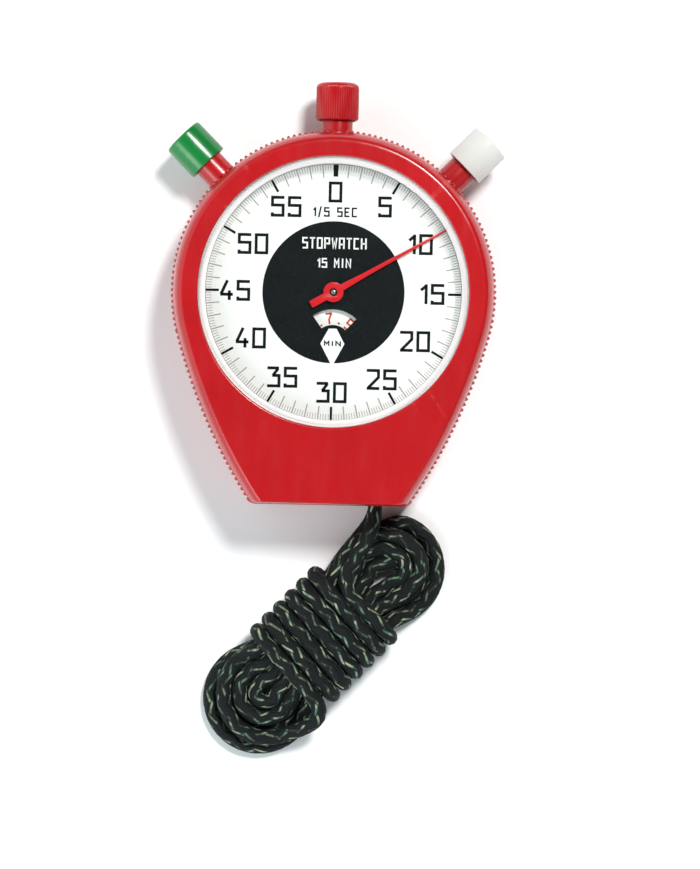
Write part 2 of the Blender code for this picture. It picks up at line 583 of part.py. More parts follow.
def make_frame():
    pivots = [(0.55, SWEEP_AT), (0.35, CENTRE_AT), (0.35, THIRD_AT), (0.35, ESCAPE_AT), (0.3, PALLET_AT),
              (0.3, BALANCE_AT), (0.6, BARREL_AT)]
    holes = [circle(radius, 12, at) for radius, at in pivots]
    plate = flat("main_plate", [circle(PLATE_R, 72)] + holes, PLATE_Z, finish=NICKEL)
    studs = [rod("start_stud", 0.5, (6.4, 10.4), 12, at=START_PIVOT),
             rod("stop_stud", 0.5, (6.4, 10.4), 12, at=STOP_PIVOT),
             rod("minute_stud", 0.5, (11.0, 12.9), 12, at=(0.0, WINDOW_Y))]
    boolean(plate, studs, "UNION")

    edge = 23.4
    upper = arc(edge, -5.0, 170.0, 28) + [(-6.0, 4.1), (4.0, 2.9), (10.0, -1.0)]
    lower = (arc(edge, -100.0, -8.0, 16) + [(10.0, -1.5), (3.7, 2.4), (-6.5, 3.4), (-10.0, -2.2),
                                           (-9.2, -5.8), (-5.0, -9.0)])
    outlines = {
        "barrel_bridge": [upper, circle(0.75, 12, BARREL_AT), circle(0.6, 12, CROWN_WHEEL_AT)],
        "train_bridge": [lower] + [circle(0.4, 12, at) for at in (SWEEP_AT, CENTRE_AT, THIRD_AT, ESCAPE_AT,
                                                                PALLET_AT)],
        "balance_cock": [ribbon([BALANCE_AT, PILLARS["balance_cock"][0]], 4.6), circle(0.3, 12, BALANCE_AT)],
    }
    number = 0
    for name, loops in outlines.items():
        bridge = flat(name, loops, BRIDGE_Z, finish=NICKEL)
        pillars = [rod("%s_pillar_%d" % (name, i), 1.4, (4.0, PLATE_Z[0] - 0.2), 14, at=at)
                   for i, at in enumerate(PILLARS[name])]
        if name == "barrel_bridge":
            pillars += [rod("click_stud", 0.28, (4.0, 5.5), 12, at=CLICK_AT),
                        rod("crown_wheel_stud", 1.0, (4.0, 5.7), 16, at=CROWN_WHEEL_AT),
                        rod("hammer_stud", 0.4, (4.0, 6.6), 12, at=HAMMER_STUD)]
        boolean(bridge, pillars, "UNION")
        drills = [rod("%s_drill_%d" % (name, i), 0.75, (3.0, 8.0), 12, at=at)
                  for i, at in enumerate(PILLARS[name])]
        boolean(bridge, drills)
        for at in PILLARS[name]:
            number += 1
            turned("bridge_screw_%d" % number, [(0.0, 7.6), (0.45, 7.6), (0.45, 3.2), (1.1, 3.2), (1.1, 2.5),
                                                (0.0, 2.5)], 12, STEEL, at=at)


# ---------------------------------------------------------------- control

def make_control():
    heart = [polar(0.9 + 1.0 * ((1 + math.cos(math.radians(a))) / 2) ** 0.8, a + HAND_ANGLE)
             for a in range(0, 360, 15)]
    flat("heart_cam", [heart, circle(0.5, 12)], (5.8, 6.3), finish=STEEL)

    pad = polar(19.6, BUTTON_ANGLES["start"])
    flat("start_lever", [ribbon([pad, START_PIVOT, (-17.2, 0.6)], 2.2), circle(0.7, 12, START_PIVOT)],
         (7.0, 7.6), finish=STEEL)

    brake = polar(7.5, 70.0, BALANCE_AT)
    stop = flat("stop_lever", [ribbon([(0.6, 10.7), STOP_PIVOT, brake], 2.2), circle(0.7, 12, STOP_PIVOT)],
                (7.0, 7.6), finish=STEEL)
    boolean(stop, [rod("brake_pin", 0.4, (5.0, 7.3), 12, at=brake)], "UNION")

    slot = ribbon([(5.6, 0.0), (8.4, 0.0)], 1.3)
    bar = [(4.8, -1.3), (23.5, -1.3), (23.5, 1.3), (4.8, 1.3)]
    hammer = flat("reset_hammer", [bar, slot], (5.8, 6.3), finish=STEEL)
    tab = flat("hammer_tab", [[(22.5, -0.8), (23.5, -0.8), (23.5, 0.8), (22.5, 0.8)]], (6.0, 8.2))
    turn = math.radians(BUTTON_ANGLES["reset"])
    hammer.rotation_euler.z = turn
    tab.rotation_euler.z = turn
    boolean(hammer, [tab], "UNION")


# ---------------------------------------------------------------- lanyard

def make_lanyard():
    for name, level in (("lanyard_leg_lower", CORD_LOW_Z), ("lanyard_leg_upper", CORD_HIGH_Z)):
        run = [(CORD_X, y, level) for y in (-34.6, -36.3, -38.0)]
        wire(name, run, CORD_D / 2, 2, CORD)
    dx, dy = HANK_HIGH[0] - HANK_LOW[0], HANK_HIGH[1] - HANK_LOW[1]
    lean = math.degrees(math.atan2(dy, dx))
    half = math.hypot(dx, dy) / 2
    middle = ((HANK_LOW[0] + HANK_HIGH[0]) / 2, (HANK_LOW[1] + HANK_HIGH[1]) / 2)
    waist = 7.6
    bend = math.degrees(math.asin(waist / LOBE_R))
    outline = (arc(LOBE_R, -180.0 + bend, 180.0 - bend, 20, (half, 0.0))
               + arc(LOBE_R, bend, 360.0 - bend, 20, (-half, 0.0)))
    hank = flat("lanyard_hank", [outline], (0.15, 5.2), middle, CORD)
    first, last, reach = -9.4, 7.0, 10.2
    binding = [(first, -reach), (last, -reach), (last, reach), (first, reach)]
    wraps = flat("hank_wraps", [binding], (0.12, 10.1), middle)
    for made in (hank, wraps):
        made.rotation_euler.z = math.radians(lean)
    boolean(hank, [wraps], "UNION")


make_case()
make_dial()
make_buttons()
make_train()
make_winding()
make_escapement()
make_frame()
make_control()
make_lanyard()

for part in PARTS.objects:
    if part.type == "MESH":
        part.data.shade_smooth()
        part.data.set_sharp_from_angle(angle=math.radians(35.0))
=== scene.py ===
"""Looks of the mechanical stopwatch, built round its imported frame.

Shapes are written in millimetres, as in the frame's own drawing, and meshes are made in metres.
+Z points out of the dial, +Y to 12 o'clock. Angles are in degrees, anticlockwise from +X.
"""
import json
import math

import bmesh
import bpy
import numpy as np
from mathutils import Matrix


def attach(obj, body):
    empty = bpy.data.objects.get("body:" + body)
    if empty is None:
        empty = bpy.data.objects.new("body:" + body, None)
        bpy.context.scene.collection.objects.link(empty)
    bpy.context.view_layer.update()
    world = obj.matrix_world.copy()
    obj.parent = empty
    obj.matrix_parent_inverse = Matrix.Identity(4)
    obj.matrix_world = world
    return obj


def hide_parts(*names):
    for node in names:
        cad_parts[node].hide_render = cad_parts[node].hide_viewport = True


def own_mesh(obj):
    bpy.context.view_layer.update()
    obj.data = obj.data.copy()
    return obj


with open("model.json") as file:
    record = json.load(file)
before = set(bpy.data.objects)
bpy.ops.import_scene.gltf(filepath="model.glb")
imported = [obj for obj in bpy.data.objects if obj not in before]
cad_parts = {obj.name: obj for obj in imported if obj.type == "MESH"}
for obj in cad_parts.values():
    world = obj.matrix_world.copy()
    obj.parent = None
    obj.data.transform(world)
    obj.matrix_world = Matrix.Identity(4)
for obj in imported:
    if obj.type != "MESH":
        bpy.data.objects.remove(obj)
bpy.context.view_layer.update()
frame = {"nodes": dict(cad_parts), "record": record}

MM = 0.001
GAP = 0.3

# Case
CASE_R, FLANK_R, FLANK_START = 28.5, 100.0, -15.0
FOOT_Y, FOOT_FILLET = -37.2, 1.8
WALL, FLOOR_Z, SPLIT_Z, CEILING_Z, TOP_Z = 2.6, 1.8, 7.4, 12.9, 17.4
OPENING_R, SEAT_R, SEAT_TOP_Z = 23.6, 25.1, 15.9
SHOULDER_Z, SHOULDER_IN, SIDE_IN = 12.9, 2.3, 0.45
FOOT_SHARE = 0.2          # share of the shoulder's inset that the foot has
TOOTH_DEPTH, TOOTH_MARGIN = 0.4, 0.45
ROUND_TEETH, FLANK_TEETH = 101, 31
SEAM_BEVEL = ((SIDE_IN, 0.0), (0.30, 0.15))             # inset, and distance from the seam
SCREWS = [(17.0, -21.0), (-17.0, -21.0), (2.6, -32.0), (-9.5, -31.6)]
BOSS_R, PILOT_R = 2.0, 1.0

# Buttons, measured outwards from the hand's axis
BUTTON_ANGLES = {"start": 135.0, "crown": 90.0, "reset": 45.0}
CAP_TOPS = {"start": 38.4, "crown": 37.0, "reset": 38.4}
CAP_ROOF = 1.2            # thickness of a cap's end
SPRING_ROOM = 2.9         # from the end of a neck to the inside of its cap

# Dial
DIAL_Z = (13.2, 13.6)
PRINT, SUNK = 0.03, 0.01  # how far ink stands above a surface and starts below it
WINDOW_Y = -9.0
BLACK_R, TRACK_R, HOLE_R = 12.4, 22.3, 1.0
HAND_Z, HAND_ANGLE = (14.2, 14.5), 30.0

# Cord
CORD_D, CORD_LENGTH = 2.5, 0.85      # diameter in millimetres, length in metres
CORD_X, CORD_LOW_Z, CORD_HIGH_Z = 8.15, 3.4, 6.1
HANK_MIDDLE, HANK_LEAN = (-0.475, -60.05), 46.06

# ---- materials


class Skin:
    """A node material that starts as a single Principled shader."""

    def __init__(self, name, roughness=0.4, metallic=0.0, **settings):
        self.material = bpy.data.materials.new(name)
        self.material.use_nodes = True
        self.tree = self.material.node_tree
        self.shader = self.tree.nodes["Principled BSDF"]
        self.shader.inputs["Roughness"].default_value = roughness
        self.shader.inputs["Metallic"].default_value = metallic
        for socket, value in settings.items():
            self.shader.inputs[socket.replace("_", " ")].default_value = value

    def node(self, kind, inputs=None, **settings):
        made = self.tree.nodes.new(kind)
        for name, value in settings.items():
            setattr(made, name, value)
        for name, value in (inputs or {}).items():
            if isinstance(value, bpy.types.NodeSocket):
                self.tree.links.new(value, made.inputs[name])
            else:
                made.inputs[name].default_value = value
        return made

    def math(self, operation, first, second=0.0, third=0.0):
        return self.node("ShaderNodeMath", {0: first, 1: second, 2: third}, operation=operation).outputs[0]

    def place(self, stretch=(1.0, 1.0, 1.0)):
        spot = self.node("ShaderNodeTexCoord").outputs["Object"]
        return self.node("ShaderNodeMapping", {"Vector": spot, "Scale": stretch}).outputs["Vector"]

    def noise(self, per_mm, detail=3.0, stretch=(1.0, 1.0, 1.0)):
        """Noise between about 0.3 and 0.7, with its size given as features per millimetre."""
        return self.node("ShaderNodeTexNoise", {"Vector": self.place(stretch), "Scale": per_mm / MM,
                                                "Detail": detail}).outputs["Fac"]

    def spread(self, value, low, high, start=0.3, end=0.7):
        return self.node("ShaderNodeMapRange", {"Value": value, "From Min": start, "From Max": end,
                                                "To Min": low, "To Max": high}).outputs["Result"]

    def blend(self, share, first, second):
        """A mix of two colours, each given as a socket or as (red, green, blue)."""
        first, second = (end if isinstance(end, bpy.types.NodeSocket) else (*end, 1.0)
                         for end in (first, second))
        return self.node("ShaderNodeMix", {0: share, 6: first, 7: second}, data_type="RGBA").outputs[2]

    def connect(self, socket, value):
        self.tree.links.new(value, self.shader.inputs[socket])

    def bump(self, height, depth_mm):
        made = self.node("ShaderNodeBump", {"Height": height, "Distance": depth_mm * MM, "Strength": 1.0})
        self.connect("Normal", made.outputs["Normal"])

    # convex edges found by Pointiness: the mask for rubbed wear and for a painted edge highlight
    def worn_edges(self):
        point = self.node("ShaderNodeNewGeometry").outputs["Pointiness"]
        return self.spread(point, 0.0, 1.0, 0.52, 0.60)


def plastic(name, colour, shade, worn_and_highlit):
    """Moulded plastic: slight clouding, fine mould grain, fine scratches, and convex edges painted lighter,
    as rubbed wear and as a painted edge highlight.
    """
    skin = Skin(name, IOR=1.5)
    clouds = skin.spread(skin.noise(0.09, 4.0), 0.0, 0.55)
    body = skin.blend(clouds, colour, shade)
    speck = skin.spread(skin.noise(1.7, 2.0), 0.0, 0.22, 0.45, 0.75)
    body = skin.blend(speck, body, shade)
    # painted edge highlight: convex edges are painted a lighter colour in rubbed patches, as wear and as a
    # highlight
    rubbed = skin.spread(skin.noise(0.8, 3.0), 0.05, 0.55, 0.4, 0.65)
    edge = skin.math("MULTIPLY", skin.worn_edges(), rubbed)
    skin.connect("Base Color", skin.blend(edge, body, worn_and_highlit))
    scratches = skin.noise(0.5, 5.0, (1.0, 0.25, 1.0))
    skin.connect("Roughness", skin.spread(scratches, 0.17, 0.27))
    skin.bump(skin.noise(5.0, 3.0), 0.004)
    return skin.material


def metal(name, colour, shade, roughness=(0.31, 0.36), stretch=(1.0, 1.0, 1.0), per_mm=3.0):
    """Turned or brushed metal with a little tarnish."""
    skin = Skin(name, metallic=1.0)
    tarnish = skin.spread(skin.noise(0.35, 4.0), 0.0, 0.6)
    streak = skin.spread(skin.noise(per_mm, 3.0, stretch), 0.0, 0.5)
    skin.connect("Base Color", skin.blend(tarnish, skin.blend(streak, colour, shade), shade))
    skin.connect("Roughness", skin.spread(skin.noise(per_mm, 4.0, stretch), *roughness))
    skin.bump(skin.noise(per_mm * 2.0, 2.0, stretch), 0.003)
    return skin.material


def lacquer(name, colour, shade, roughness=(0.24, 0.28)):
    """Printed or lacquered sheet with faint mottling."""
    skin = Skin(name, IOR=1.48, Specular_IOR_Level=0.25)
    mottle = skin.spread(skin.noise(0.25, 4.0), 0.0, 0.5)
    fine = skin.spread(skin.noise(4.0, 2.0), 0.0, 0.20)
    skin.connect("Base Color", skin.blend(fine, skin.blend(mottle, colour, shade), shade))
    skin.connect("Roughness", skin.spread(skin.noise(1.2, 3.0), *roughness))
    skin.bump(skin.noise(2.5, 2.0), 0.0004)
    return skin.material


def clear_plastic(name, haze=0.0):
    """Acrylic: see-through face on, glossier at a slant, faintly scratched. Haze makes it milky.

    It goes by Facing, since Fresnel makes a mirror of the sheet's lower face.
    """
    skin = Skin(name, metallic=0.0 if haze else 1.0, Base_Color=(0.95, 0.97, 0.97, 1.0))
    skin.connect("Roughness", skin.spread(skin.noise(0.9, 4.0, (1.0, 0.3, 1.0)), 0.03, 0.10))
    facing = skin.node("ShaderNodeLayerWeight", {"Blend": 0.5}).outputs["Facing"]
    share = skin.spread(skin.math("POWER", facing, 5.0), 0.008 + haze, 0.80, 0.0, 1.0)
    through = skin.node("ShaderNodeBsdfTransparent", {"Color": (0.985, 0.99, 0.99, 1.0)})
    mixed = skin.node("ShaderNodeMixShader", {0: share, 1: through.outputs["BSDF"],
                                              2: skin.shader.outputs["BSDF"]})
    skin.tree.links.new(mixed.outputs["Shader"], skin.tree.nodes["Material Output"].inputs["Surface"])
    return skin.material


BRAID_STRANDS = 10        # strands that run each way round the cord
BRAID_PITCH = 20.0        # length of one turn of a strand, in millimetres


def braid(name):
    """Two families of strands, over two and under two; two strands of five are light tracers."""
    skin = Skin(name, IOR=1.45, Specular_IOR_Level=0.3)
    calc = skin.math
    uv = skin.node("ShaderNodeSeparateXYZ", {"Vector": skin.node("ShaderNodeTexCoord").outputs["UV"]})
    lengthwise = calc("DIVIDE", uv.outputs["X"], BRAID_PITCH)
    around = uv.outputs["Y"]
    first = calc("MULTIPLY", calc("ADD", lengthwise, around), BRAID_STRANDS)
    second = calc("MULTIPLY", calc("SUBTRACT", lengthwise, around), BRAID_STRANDS)
    cells = calc("ADD", calc("FLOOR", first), calc("FLOOR", second))
    over = calc("LESS_THAN", calc("FLOORED_MODULO", cells, 4.0), 1.5)

    def ridge(line):
        inside = calc("ABSOLUTE", calc("SUBTRACT", calc("FRACT", line), 0.5))
        return calc("SUBTRACT", 1.0, calc("MULTIPLY", inside, 2.0))

    def tracer(line, offset):
        number = calc("FLOORED_MODULO", calc("ADD", calc("FLOOR", line), offset), 5.0)
        return calc("COMPARE", calc("ABSOLUTE", calc("SUBTRACT", number, 1.0)), 1.0, 0.1)

    def pick(one, other):
        kept = calc("MULTIPLY", one, over)
        return calc("ADD", kept, calc("MULTIPLY", other, calc("SUBTRACT", 1.0, over)))

    height = pick(ridge(first), ridge(second))
    light = pick(tracer(first, 0.0), tracer(second, 2.0))
    core = skin.spread(height, 0.0, 1.0, 0.35, 0.70)
    patchy = skin.spread(skin.noise(0.5, 3.0), 0.05, 0.9, 0.42, 0.60)
    light = calc("MULTIPLY", calc("MULTIPLY", light, core), patchy)
    fibre = skin.spread(skin.noise(6.0, 3.0), 0.0, 1.0)
    dark = skin.blend(fibre, (0.0020, 0.0032, 0.0038), (0.0065, 0.0095, 0.0095))
    hue = skin.spread(skin.noise(0.7, 2.0), 0.0, 1.0, 0.42, 0.60)
    fleck = skin.blend(hue, (0.10, 0.20, 0.14), (0.40, 0.46, 0.30))
    skin.connect("Base Color", skin.blend(light, dark, fleck))
    skin.connect("Roughness", skin.spread(fibre, 0.68, 0.9))
    skin.bump(calc("ADD", height, calc("MULTIPLY", fibre, 0.12)), 0.12)
    return skin.material


# the third colour of each plastic is its lighter edge colour, for rubbed wear and a painted edge highlight
RED = plastic("red_plastic", (0.460, 0.0075, 0.0110), (0.360, 0.0055, 0.0080), (0.56, 0.045, 0.04))
GREEN = plastic("green_plastic", (0.005, 0.205, 0.038), (0.004, 0.150, 0.030), (0.04, 0.32, 0.10))
WHITE = plastic("white_plastic", (0.71, 0.71, 0.68), (0.64, 0.64, 0.60), (0.80, 0.80, 0.77))
DIAL_WHITE = lacquer("dial_white", (0.88, 0.89, 0.86), (0.82, 0.83, 0.80))
INK_BLACK = lacquer("ink_black", (0.0050, 0.0068, 0.0076), (0.0085, 0.011, 0.012))
INK_GREY = lacquer("ink_grey", (0.33, 0.31, 0.30), (0.40, 0.39, 0.37))
INK_RED = lacquer("ink_red", (0.60, 0.06, 0.015), (0.50, 0.045, 0.012))
HAND_RED = lacquer("hand_red", (0.62, 0.016, 0.022), (0.54, 0.012, 0.018), (0.27, 0.32))
CRYSTAL = clear_plastic("clear_acrylic")
CRYSTAL_EDGE = clear_plastic("ground_acrylic_edge", haze=0.55)
BRASS = metal("gilt_brass", (0.72, 0.52, 0.23), (0.58, 0.38, 0.15), stretch=(1.0, 1.0, 0.2))
STEEL = metal("polished_steel", (0.58, 0.59, 0.61), (0.44, 0.45, 0.48), (0.26, 0.30))
SCREW_STEEL = metal("screw_steel", (0.50, 0.51, 0.53), (0.36, 0.37, 0.40), (0.31, 0.39), per_mm=5.0)
NICKEL = metal("nickel_plate", (0.64, 0.62, 0.57), (0.50, 0.48, 0.43), (0.34, 0.41), (0.15, 1.0, 1.0))
BLUE = metal("blued_steel", (0.05, 0.09, 0.28), (0.10, 0.07, 0.20), (0.25, 0.32))
CORD = braid("braided_cord")

# ---- meshes


def add_object(name, data):
    made = bpy.data.objects.new(name, data)
    bpy.context.scene.collection.objects.link(made)
    return made


def to_mesh(name, build):
    mesh = bpy.data.meshes.new(name)
    build.to_mesh(mesh)
    build.free()
    return mesh


def smooth_over(mesh, sharp):
    mesh.shade_smooth()
    mesh.set_sharp_from_angle(angle=math.radians(sharp))


def finish_mesh(name, build, skin, body, replaced=(), sharp=32.0, smooth=True):
    """Turn a bmesh in millimetres into a piece that rides on a body."""
    bmesh.ops.scale(build, vec=(MM, MM, MM), verts=build.verts)
    bmesh.ops.remove_doubles(build, verts=build.verts, dist=1e-7)
    bmesh.ops.recalc_face_normals(build, faces=build.faces)
    return piece(name, to_mesh(name, build), skin, body, replaced, sharp, smooth)


def piece(name, mesh, skin, body, replaced=(), sharp=32.0, smooth=True):
    made = add_object(name, mesh)
    mesh.materials.clear()
    mesh.materials.append(skin)
    if smooth:
        smooth_over(mesh, sharp)
    if replaced:
        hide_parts(*replaced)
    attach(made, body)
    return made


def polar(radius, angle, centre=(0.0, 0.0)):
    turn = math.radians(angle)
    return centre[0] + radius * math.cos(turn), centre[1] + radius * math.sin(turn)


def turned(x, y, angle, centre=(0.0, 0.0)):
    """A point turned about the origin and then moved."""
    turn = math.radians(angle)
    return (centre[0] + x * math.cos(turn) - y * math.sin(turn),
            centre[1] + x * math.sin(turn) + y * math.cos(turn))


def arc(radius, start, end, steps, centre=(0.0, 0.0)):
    return [polar(radius, start + (end - start) * i / steps, centre) for i in range(steps + 1)]


def quarter(steps, first=0):
    """The sine and cosine at each step of a quarter turn."""
    swings = (math.pi / 2 * i / steps for i in range(first, steps + 1))
    return [(math.sin(swing), math.cos(swing)) for swing in swings]


def circle(radius, steps, centre=(0.0, 0.0)):
    return arc(radius, 0.0, 360.0, steps, centre)[:-1]


def fillet(corners, steps=4, closed=False):
    """A bent line from corners (x, y, radius), with each corner rounded."""
    line = []
    count = len(corners)
    for i, (x, y, radius) in enumerate(corners):
        if radius <= 0.0 or (not closed and i in (0, count - 1)):
            line.append((x, y))
            continue
        here = np.array((x, y))
        back = np.array(corners[i - 1][:2]) - here
        on = np.array(corners[(i + 1) % count][:2]) - here
        back, on = back / np.linalg.norm(back), on / np.linalg.norm(on)
        half = math.acos(max(-1.0, min(1.0, float(back @ on)))) / 2
        centre = here + (back + on) / np.linalg.norm(back + on) * radius / math.sin(half)
        start = here + back * radius / math.tan(half) - centre
        end = here + on * radius / math.tan(half) - centre
        first = math.atan2(start[1], start[0])
        swing = (math.atan2(end[1], end[0]) - first + math.pi) % (2 * math.pi) - math.pi
        line += [tuple(centre + radius * np.array((math.cos(first + swing * k / steps),
                                                   math.sin(first + swing * k / steps))))
                 for k in range(steps + 1)]
    return line


def skin_rings(build, rings, closed=False, caps=True):
    """Join rings of points, each as long as the next, and close the ends."""
    made = [[build.verts.new(point) for point in ring] for ring in rings]
    pairs = list(zip(made, made[1:])) + ([(made[-1], made[0])] if closed else [])
    for low, high in pairs:
        for i in range(len(low)):
            build.faces.new((low[i - 1], low[i], high[i], high[i - 1]))
    if caps and not closed:
        build.faces.new(made[0][::-1])
        build.faces.new(made[-1])


def lathe(profile, steps, closed=False):
    """A turned solid about Z. Profile points are (radius, height); ends on the axis close it."""
    build = bmesh.new()
    rings = [[(*polar(max(radius, 0.0), 360.0 * i / steps), height) for i in range(steps)]
             for radius, height in profile]
    skin_rings(build, rings, closed, caps=False)
    bmesh.ops.remove_doubles(build, verts=build.verts, dist=1e-5)
    return build


def along(build, angle):
    """Lay a solid modelled along Z on a button's axis. Its own Y becomes height."""
    sine, cosine = math.sin(math.radians(angle)), math.cos(math.radians(angle))
    for vert in build.verts:
        x, y, z = vert.co
        vert.co = (sine * x + cosine * z, sine * z - cosine * x, SPLIT_Z + y)
    return build


def evaluated(made):
    return bpy.data.meshes.new_from_object(made.evaluated_get(bpy.context.evaluated_depsgraph_get()))


def plate(loops, low, high):
    """A flat solid between two levels. The first loop is its outline and the others are holes."""
    curve = bpy.data.curves.new("guide", "CURVE")
    curve.dimensions = "2D"
    curve.fill_mode = "BOTH"
    curve.extrude = (high - low) / 2
    for loop in loops:
        spline = curve.splines.new("POLY")
        spline.points.add(len(loop) - 1)
        for point, (x, y) in zip(spline.points, loop):
            point.co = (x, y, 0.0, 1.0)
        spline.use_cyclic_u = True
    guide = add_object("guide", curve)
    mesh = evaluated(guide)
    bpy.data.objects.remove(guide)
    build = bmesh.new()
    build.from_mesh(mesh)
    bpy.data.meshes.remove(mesh)
    bmesh.ops.remove_doubles(build, verts=build.verts, dist=1e-4)
    bmesh.ops.translate(build, vec=(0.0, 0.0, (low + high) / 2), verts=build.verts)
    return build


def apply_modifiers(made, sharp):
    mesh = evaluated(made)
    made.modifiers.clear()
    made.data = mesh
    smooth_over(mesh, sharp)


def cut(made, builds, operation="DIFFERENCE", sharp=32.0):
    """Cut solids, given in millimetres, out of a piece, or join them to it."""
    joined = bmesh.new()
    for build in builds:
        bmesh.ops.scale(build, vec=(MM, MM, MM), verts=build.verts)
        bmesh.ops.recalc_face_normals(build, faces=build.faces)
        mesh = to_mesh("tool", build)
        joined.from_mesh(mesh)
        bpy.data.meshes.remove(mesh)
    tool = add_object("tool", to_mesh("tool", joined))
    step = made.modifiers.new("Cut", "BOOLEAN")
    step.operation = operation
    step.object = tool
    apply_modifiers(made, sharp)
    bpy.data.objects.remove(tool)


# ---- camera, light and floor

VIEW_CENTRE, VIEW_HEIGHT = (3.41, -24.76), 810.0
LENS, SENSOR = 189.0, 36.0
PICTURE_TURN = 1.2        # degrees clockwise in the picture
GLOW_FROM = (-0.66, -0.60, 0.45)
GLOW_DARK, GLOW_BRIGHT, CEILING_SHARE = 0.05, 1.6, 0.10
GLOW_TINT = (0.86, 0.97, 1.0, 1.0)
LIGHTS = (("key_upper_right", (0.29, 0.43, 0.855), 0.24, 9.4, (1.0, 0.985, 0.97)),
          ("key_lower_left", (-0.60, -0.52, 0.62), 0.45, 2.0, (1.0, 1.0, 1.0)))


def make_camera():
    camera = add_object("camera", bpy.data.cameras.new("camera"))
    camera.location = (VIEW_CENTRE[0] * MM, VIEW_CENTRE[1] * MM, VIEW_HEIGHT * MM)
    camera.rotation_euler = (0.0, 0.0, math.radians(PICTURE_TURN))
    camera.data.lens = LENS
    camera.data.sensor_width = SENSOR
    camera.data.clip_start, camera.data.clip_end = 0.02, 50.0
    bpy.context.scene.camera = camera
    bpy.context.scene.view_settings.view_transform = "Standard"


def make_floor():
    """A sheet of paper, in metres."""
    build = bmesh.new()
    bmesh.ops.create_grid(build, x_segments=1, y_segments=1, size=4.0)
    floor = add_object("floor", to_mesh("floor", build))
    paper = Skin("floor_paper", roughness=0.8)
    paper.connect("Base Color", paper.blend(paper.spread(paper.noise(0.01), 0.0, 1.0),
                                            (0.97, 0.98, 0.98), (0.95, 0.96, 0.96)))
    floor.data.materials.append(paper.material)


def make_world():
    """A soft glow from the lower left, with a dim ceiling over the dial."""
    world = bpy.data.worlds.new("studio")
    bpy.context.scene.world = world
    world.use_nodes = True
    tree = world.node_tree
    spot = tree.nodes.new("ShaderNodeTexCoord").outputs["Generated"]

    def linked(kind, *sources):
        made = tree.nodes.new(kind)
        for slot, source in enumerate(sources):
            tree.links.new(source, made.inputs[slot])
        return made

    def ramp(value, *points):
        made = linked("ShaderNodeMapRange", value)
        made.interpolation_type = "SMOOTHSTEP"
        for name, number in zip(("From Min", "From Max", "To Min", "To Max"), points):
            made.inputs[name].default_value = number
        return made.outputs["Result"]

    facing = linked("ShaderNodeVectorMath", spot)
    facing.operation = "DOT_PRODUCT"
    facing.inputs[1].default_value = GLOW_FROM
    glow = ramp(facing.outputs["Value"], -0.35, 0.95, GLOW_DARK, GLOW_BRIGHT)
    ceiling = ramp(linked("ShaderNodeSeparateXYZ", spot).outputs["Z"], 0.62, 0.97, 1.0, CEILING_SHARE)
    strength = linked("ShaderNodeMath", glow, ceiling)
    strength.operation = "MULTIPLY"
    tree.links.new(strength.outputs[0], tree.nodes["Background"].inputs["Strength"])
    tree.nodes["Background"].inputs["Color"].default_value = GLOW_TINT


def make_lights():
    for name, place, size, power, tint in LIGHTS:
        lamp = bpy.data.lights.new(name, "AREA")
        lamp.shape = "DISK"
        lamp.size = size
        lamp.energy = power
        lamp.color = tint
        made = add_object(name, lamp)
        made.location = place
        made.rotation_euler = (-made.location).to_track_quat("-Z", "Y").to_euler()


# ---- cord

HANK_D = 2.72             # the cord swells where nothing presses on it
RINGS = (((8.65, 6.2), (5.95, 3.75), (3.25, 1.3)),      # lower layer: radius at the lobes, reach at the waist
         ((7.40, 5.6), (4.70, 3.3), (2.00, 1.3)))       # upper layer, which lies in the grooves
LAYER_Z = (1.38, 3.74)
LOBE_AT = (16.18, 14.6)   # how far the lobes of each layer are from the middle
PINCH_END = (6.5, 8.5, 11.0)     # how far from the middle each ring starts to widen
WAIST_LIFT, LIFT_END = 2.5, ((8.8, 15.5), (8.8, 14.5))
WRAP_START, WRAP_PITCH, WRAP_TURNS = -8.9, 2.85, 6
WRAP_HALF, WRAP_LOW, WRAP_HIGH = 8.75, 1.38, 8.75


def ease(value, start, end):
    share = min(1.0, max(0.0, (value - start) / (end - start)))
    return (1.0 - math.cos(math.pi * share)) / 2


def bezier(first, leave, arrive, last):
    points = [np.array(p, float) for p in (first, leave, arrive, last)]
    line, steps = [], 24
    for i in range(steps + 1):
        t = i / steps
        weights = ((1 - t) ** 3, 3 * t * (1 - t) ** 2, 3 * t * t * (1 - t), t ** 3)
        line.append(sum(w * p for w, p in zip(weights, points)))
    return line


def hank_point(along_hank, across, height):
    """A point given on the hank's own axes."""
    return np.array((*turned(along_hank, across, HANK_LEAN, HANK_MIDDLE), height))


def side_reach(layer, ring, here):
    """How far a run is from the hank's long axis: pinched in by the wraps, wide at the lobes."""
    radius, waist = RINGS[layer][ring]
    return waist + (radius - waist) * ease(abs(here), PINCH_END[ring], LOBE_AT[layer])


def side_run(layer, ring, side, forward, until=None):
    """A run from lobe to lobe, lifted where the wraps hold it."""
    line, steps = [], 60
    first = -LOBE_AT[layer]
    last = until or LOBE_AT[layer]
    for i in range(steps + 1):
        share = i / steps if forward else 1 - i / steps
        here = first + (last - first) * share
        lift = WAIST_LIFT * (1.0 - ease(abs(here), *LIFT_END[layer]))
        line.append(hank_point(here, side * side_reach(layer, ring, here), LAYER_Z[layer] + lift))
    return line


def lobe_turn(end, radii, layers, switch=(-180.0, 180.0), swing=180.0):
    """A turn round a lobe. The radius and layer change between the two switch angles."""
    line, steps = [], 48
    start = -90.0 if end > 0 else 90.0
    for i in range(steps + 1):
        angle = start + swing * i / steps
        reach = -90.0 + swing * i / steps
        share = ease(reach, *switch)
        radius = radii[0] + (radii[1] - radii[0]) * share
        height, lobe_at = (pair[layers[0]] + (pair[layers[1]] - pair[layers[0]]) * share
                           for pair in (LAYER_Z, LOBE_AT))
        a, b = polar(radius, angle, (end * lobe_at, 0.0))
        line.append(hank_point(a, b, height))
    return line


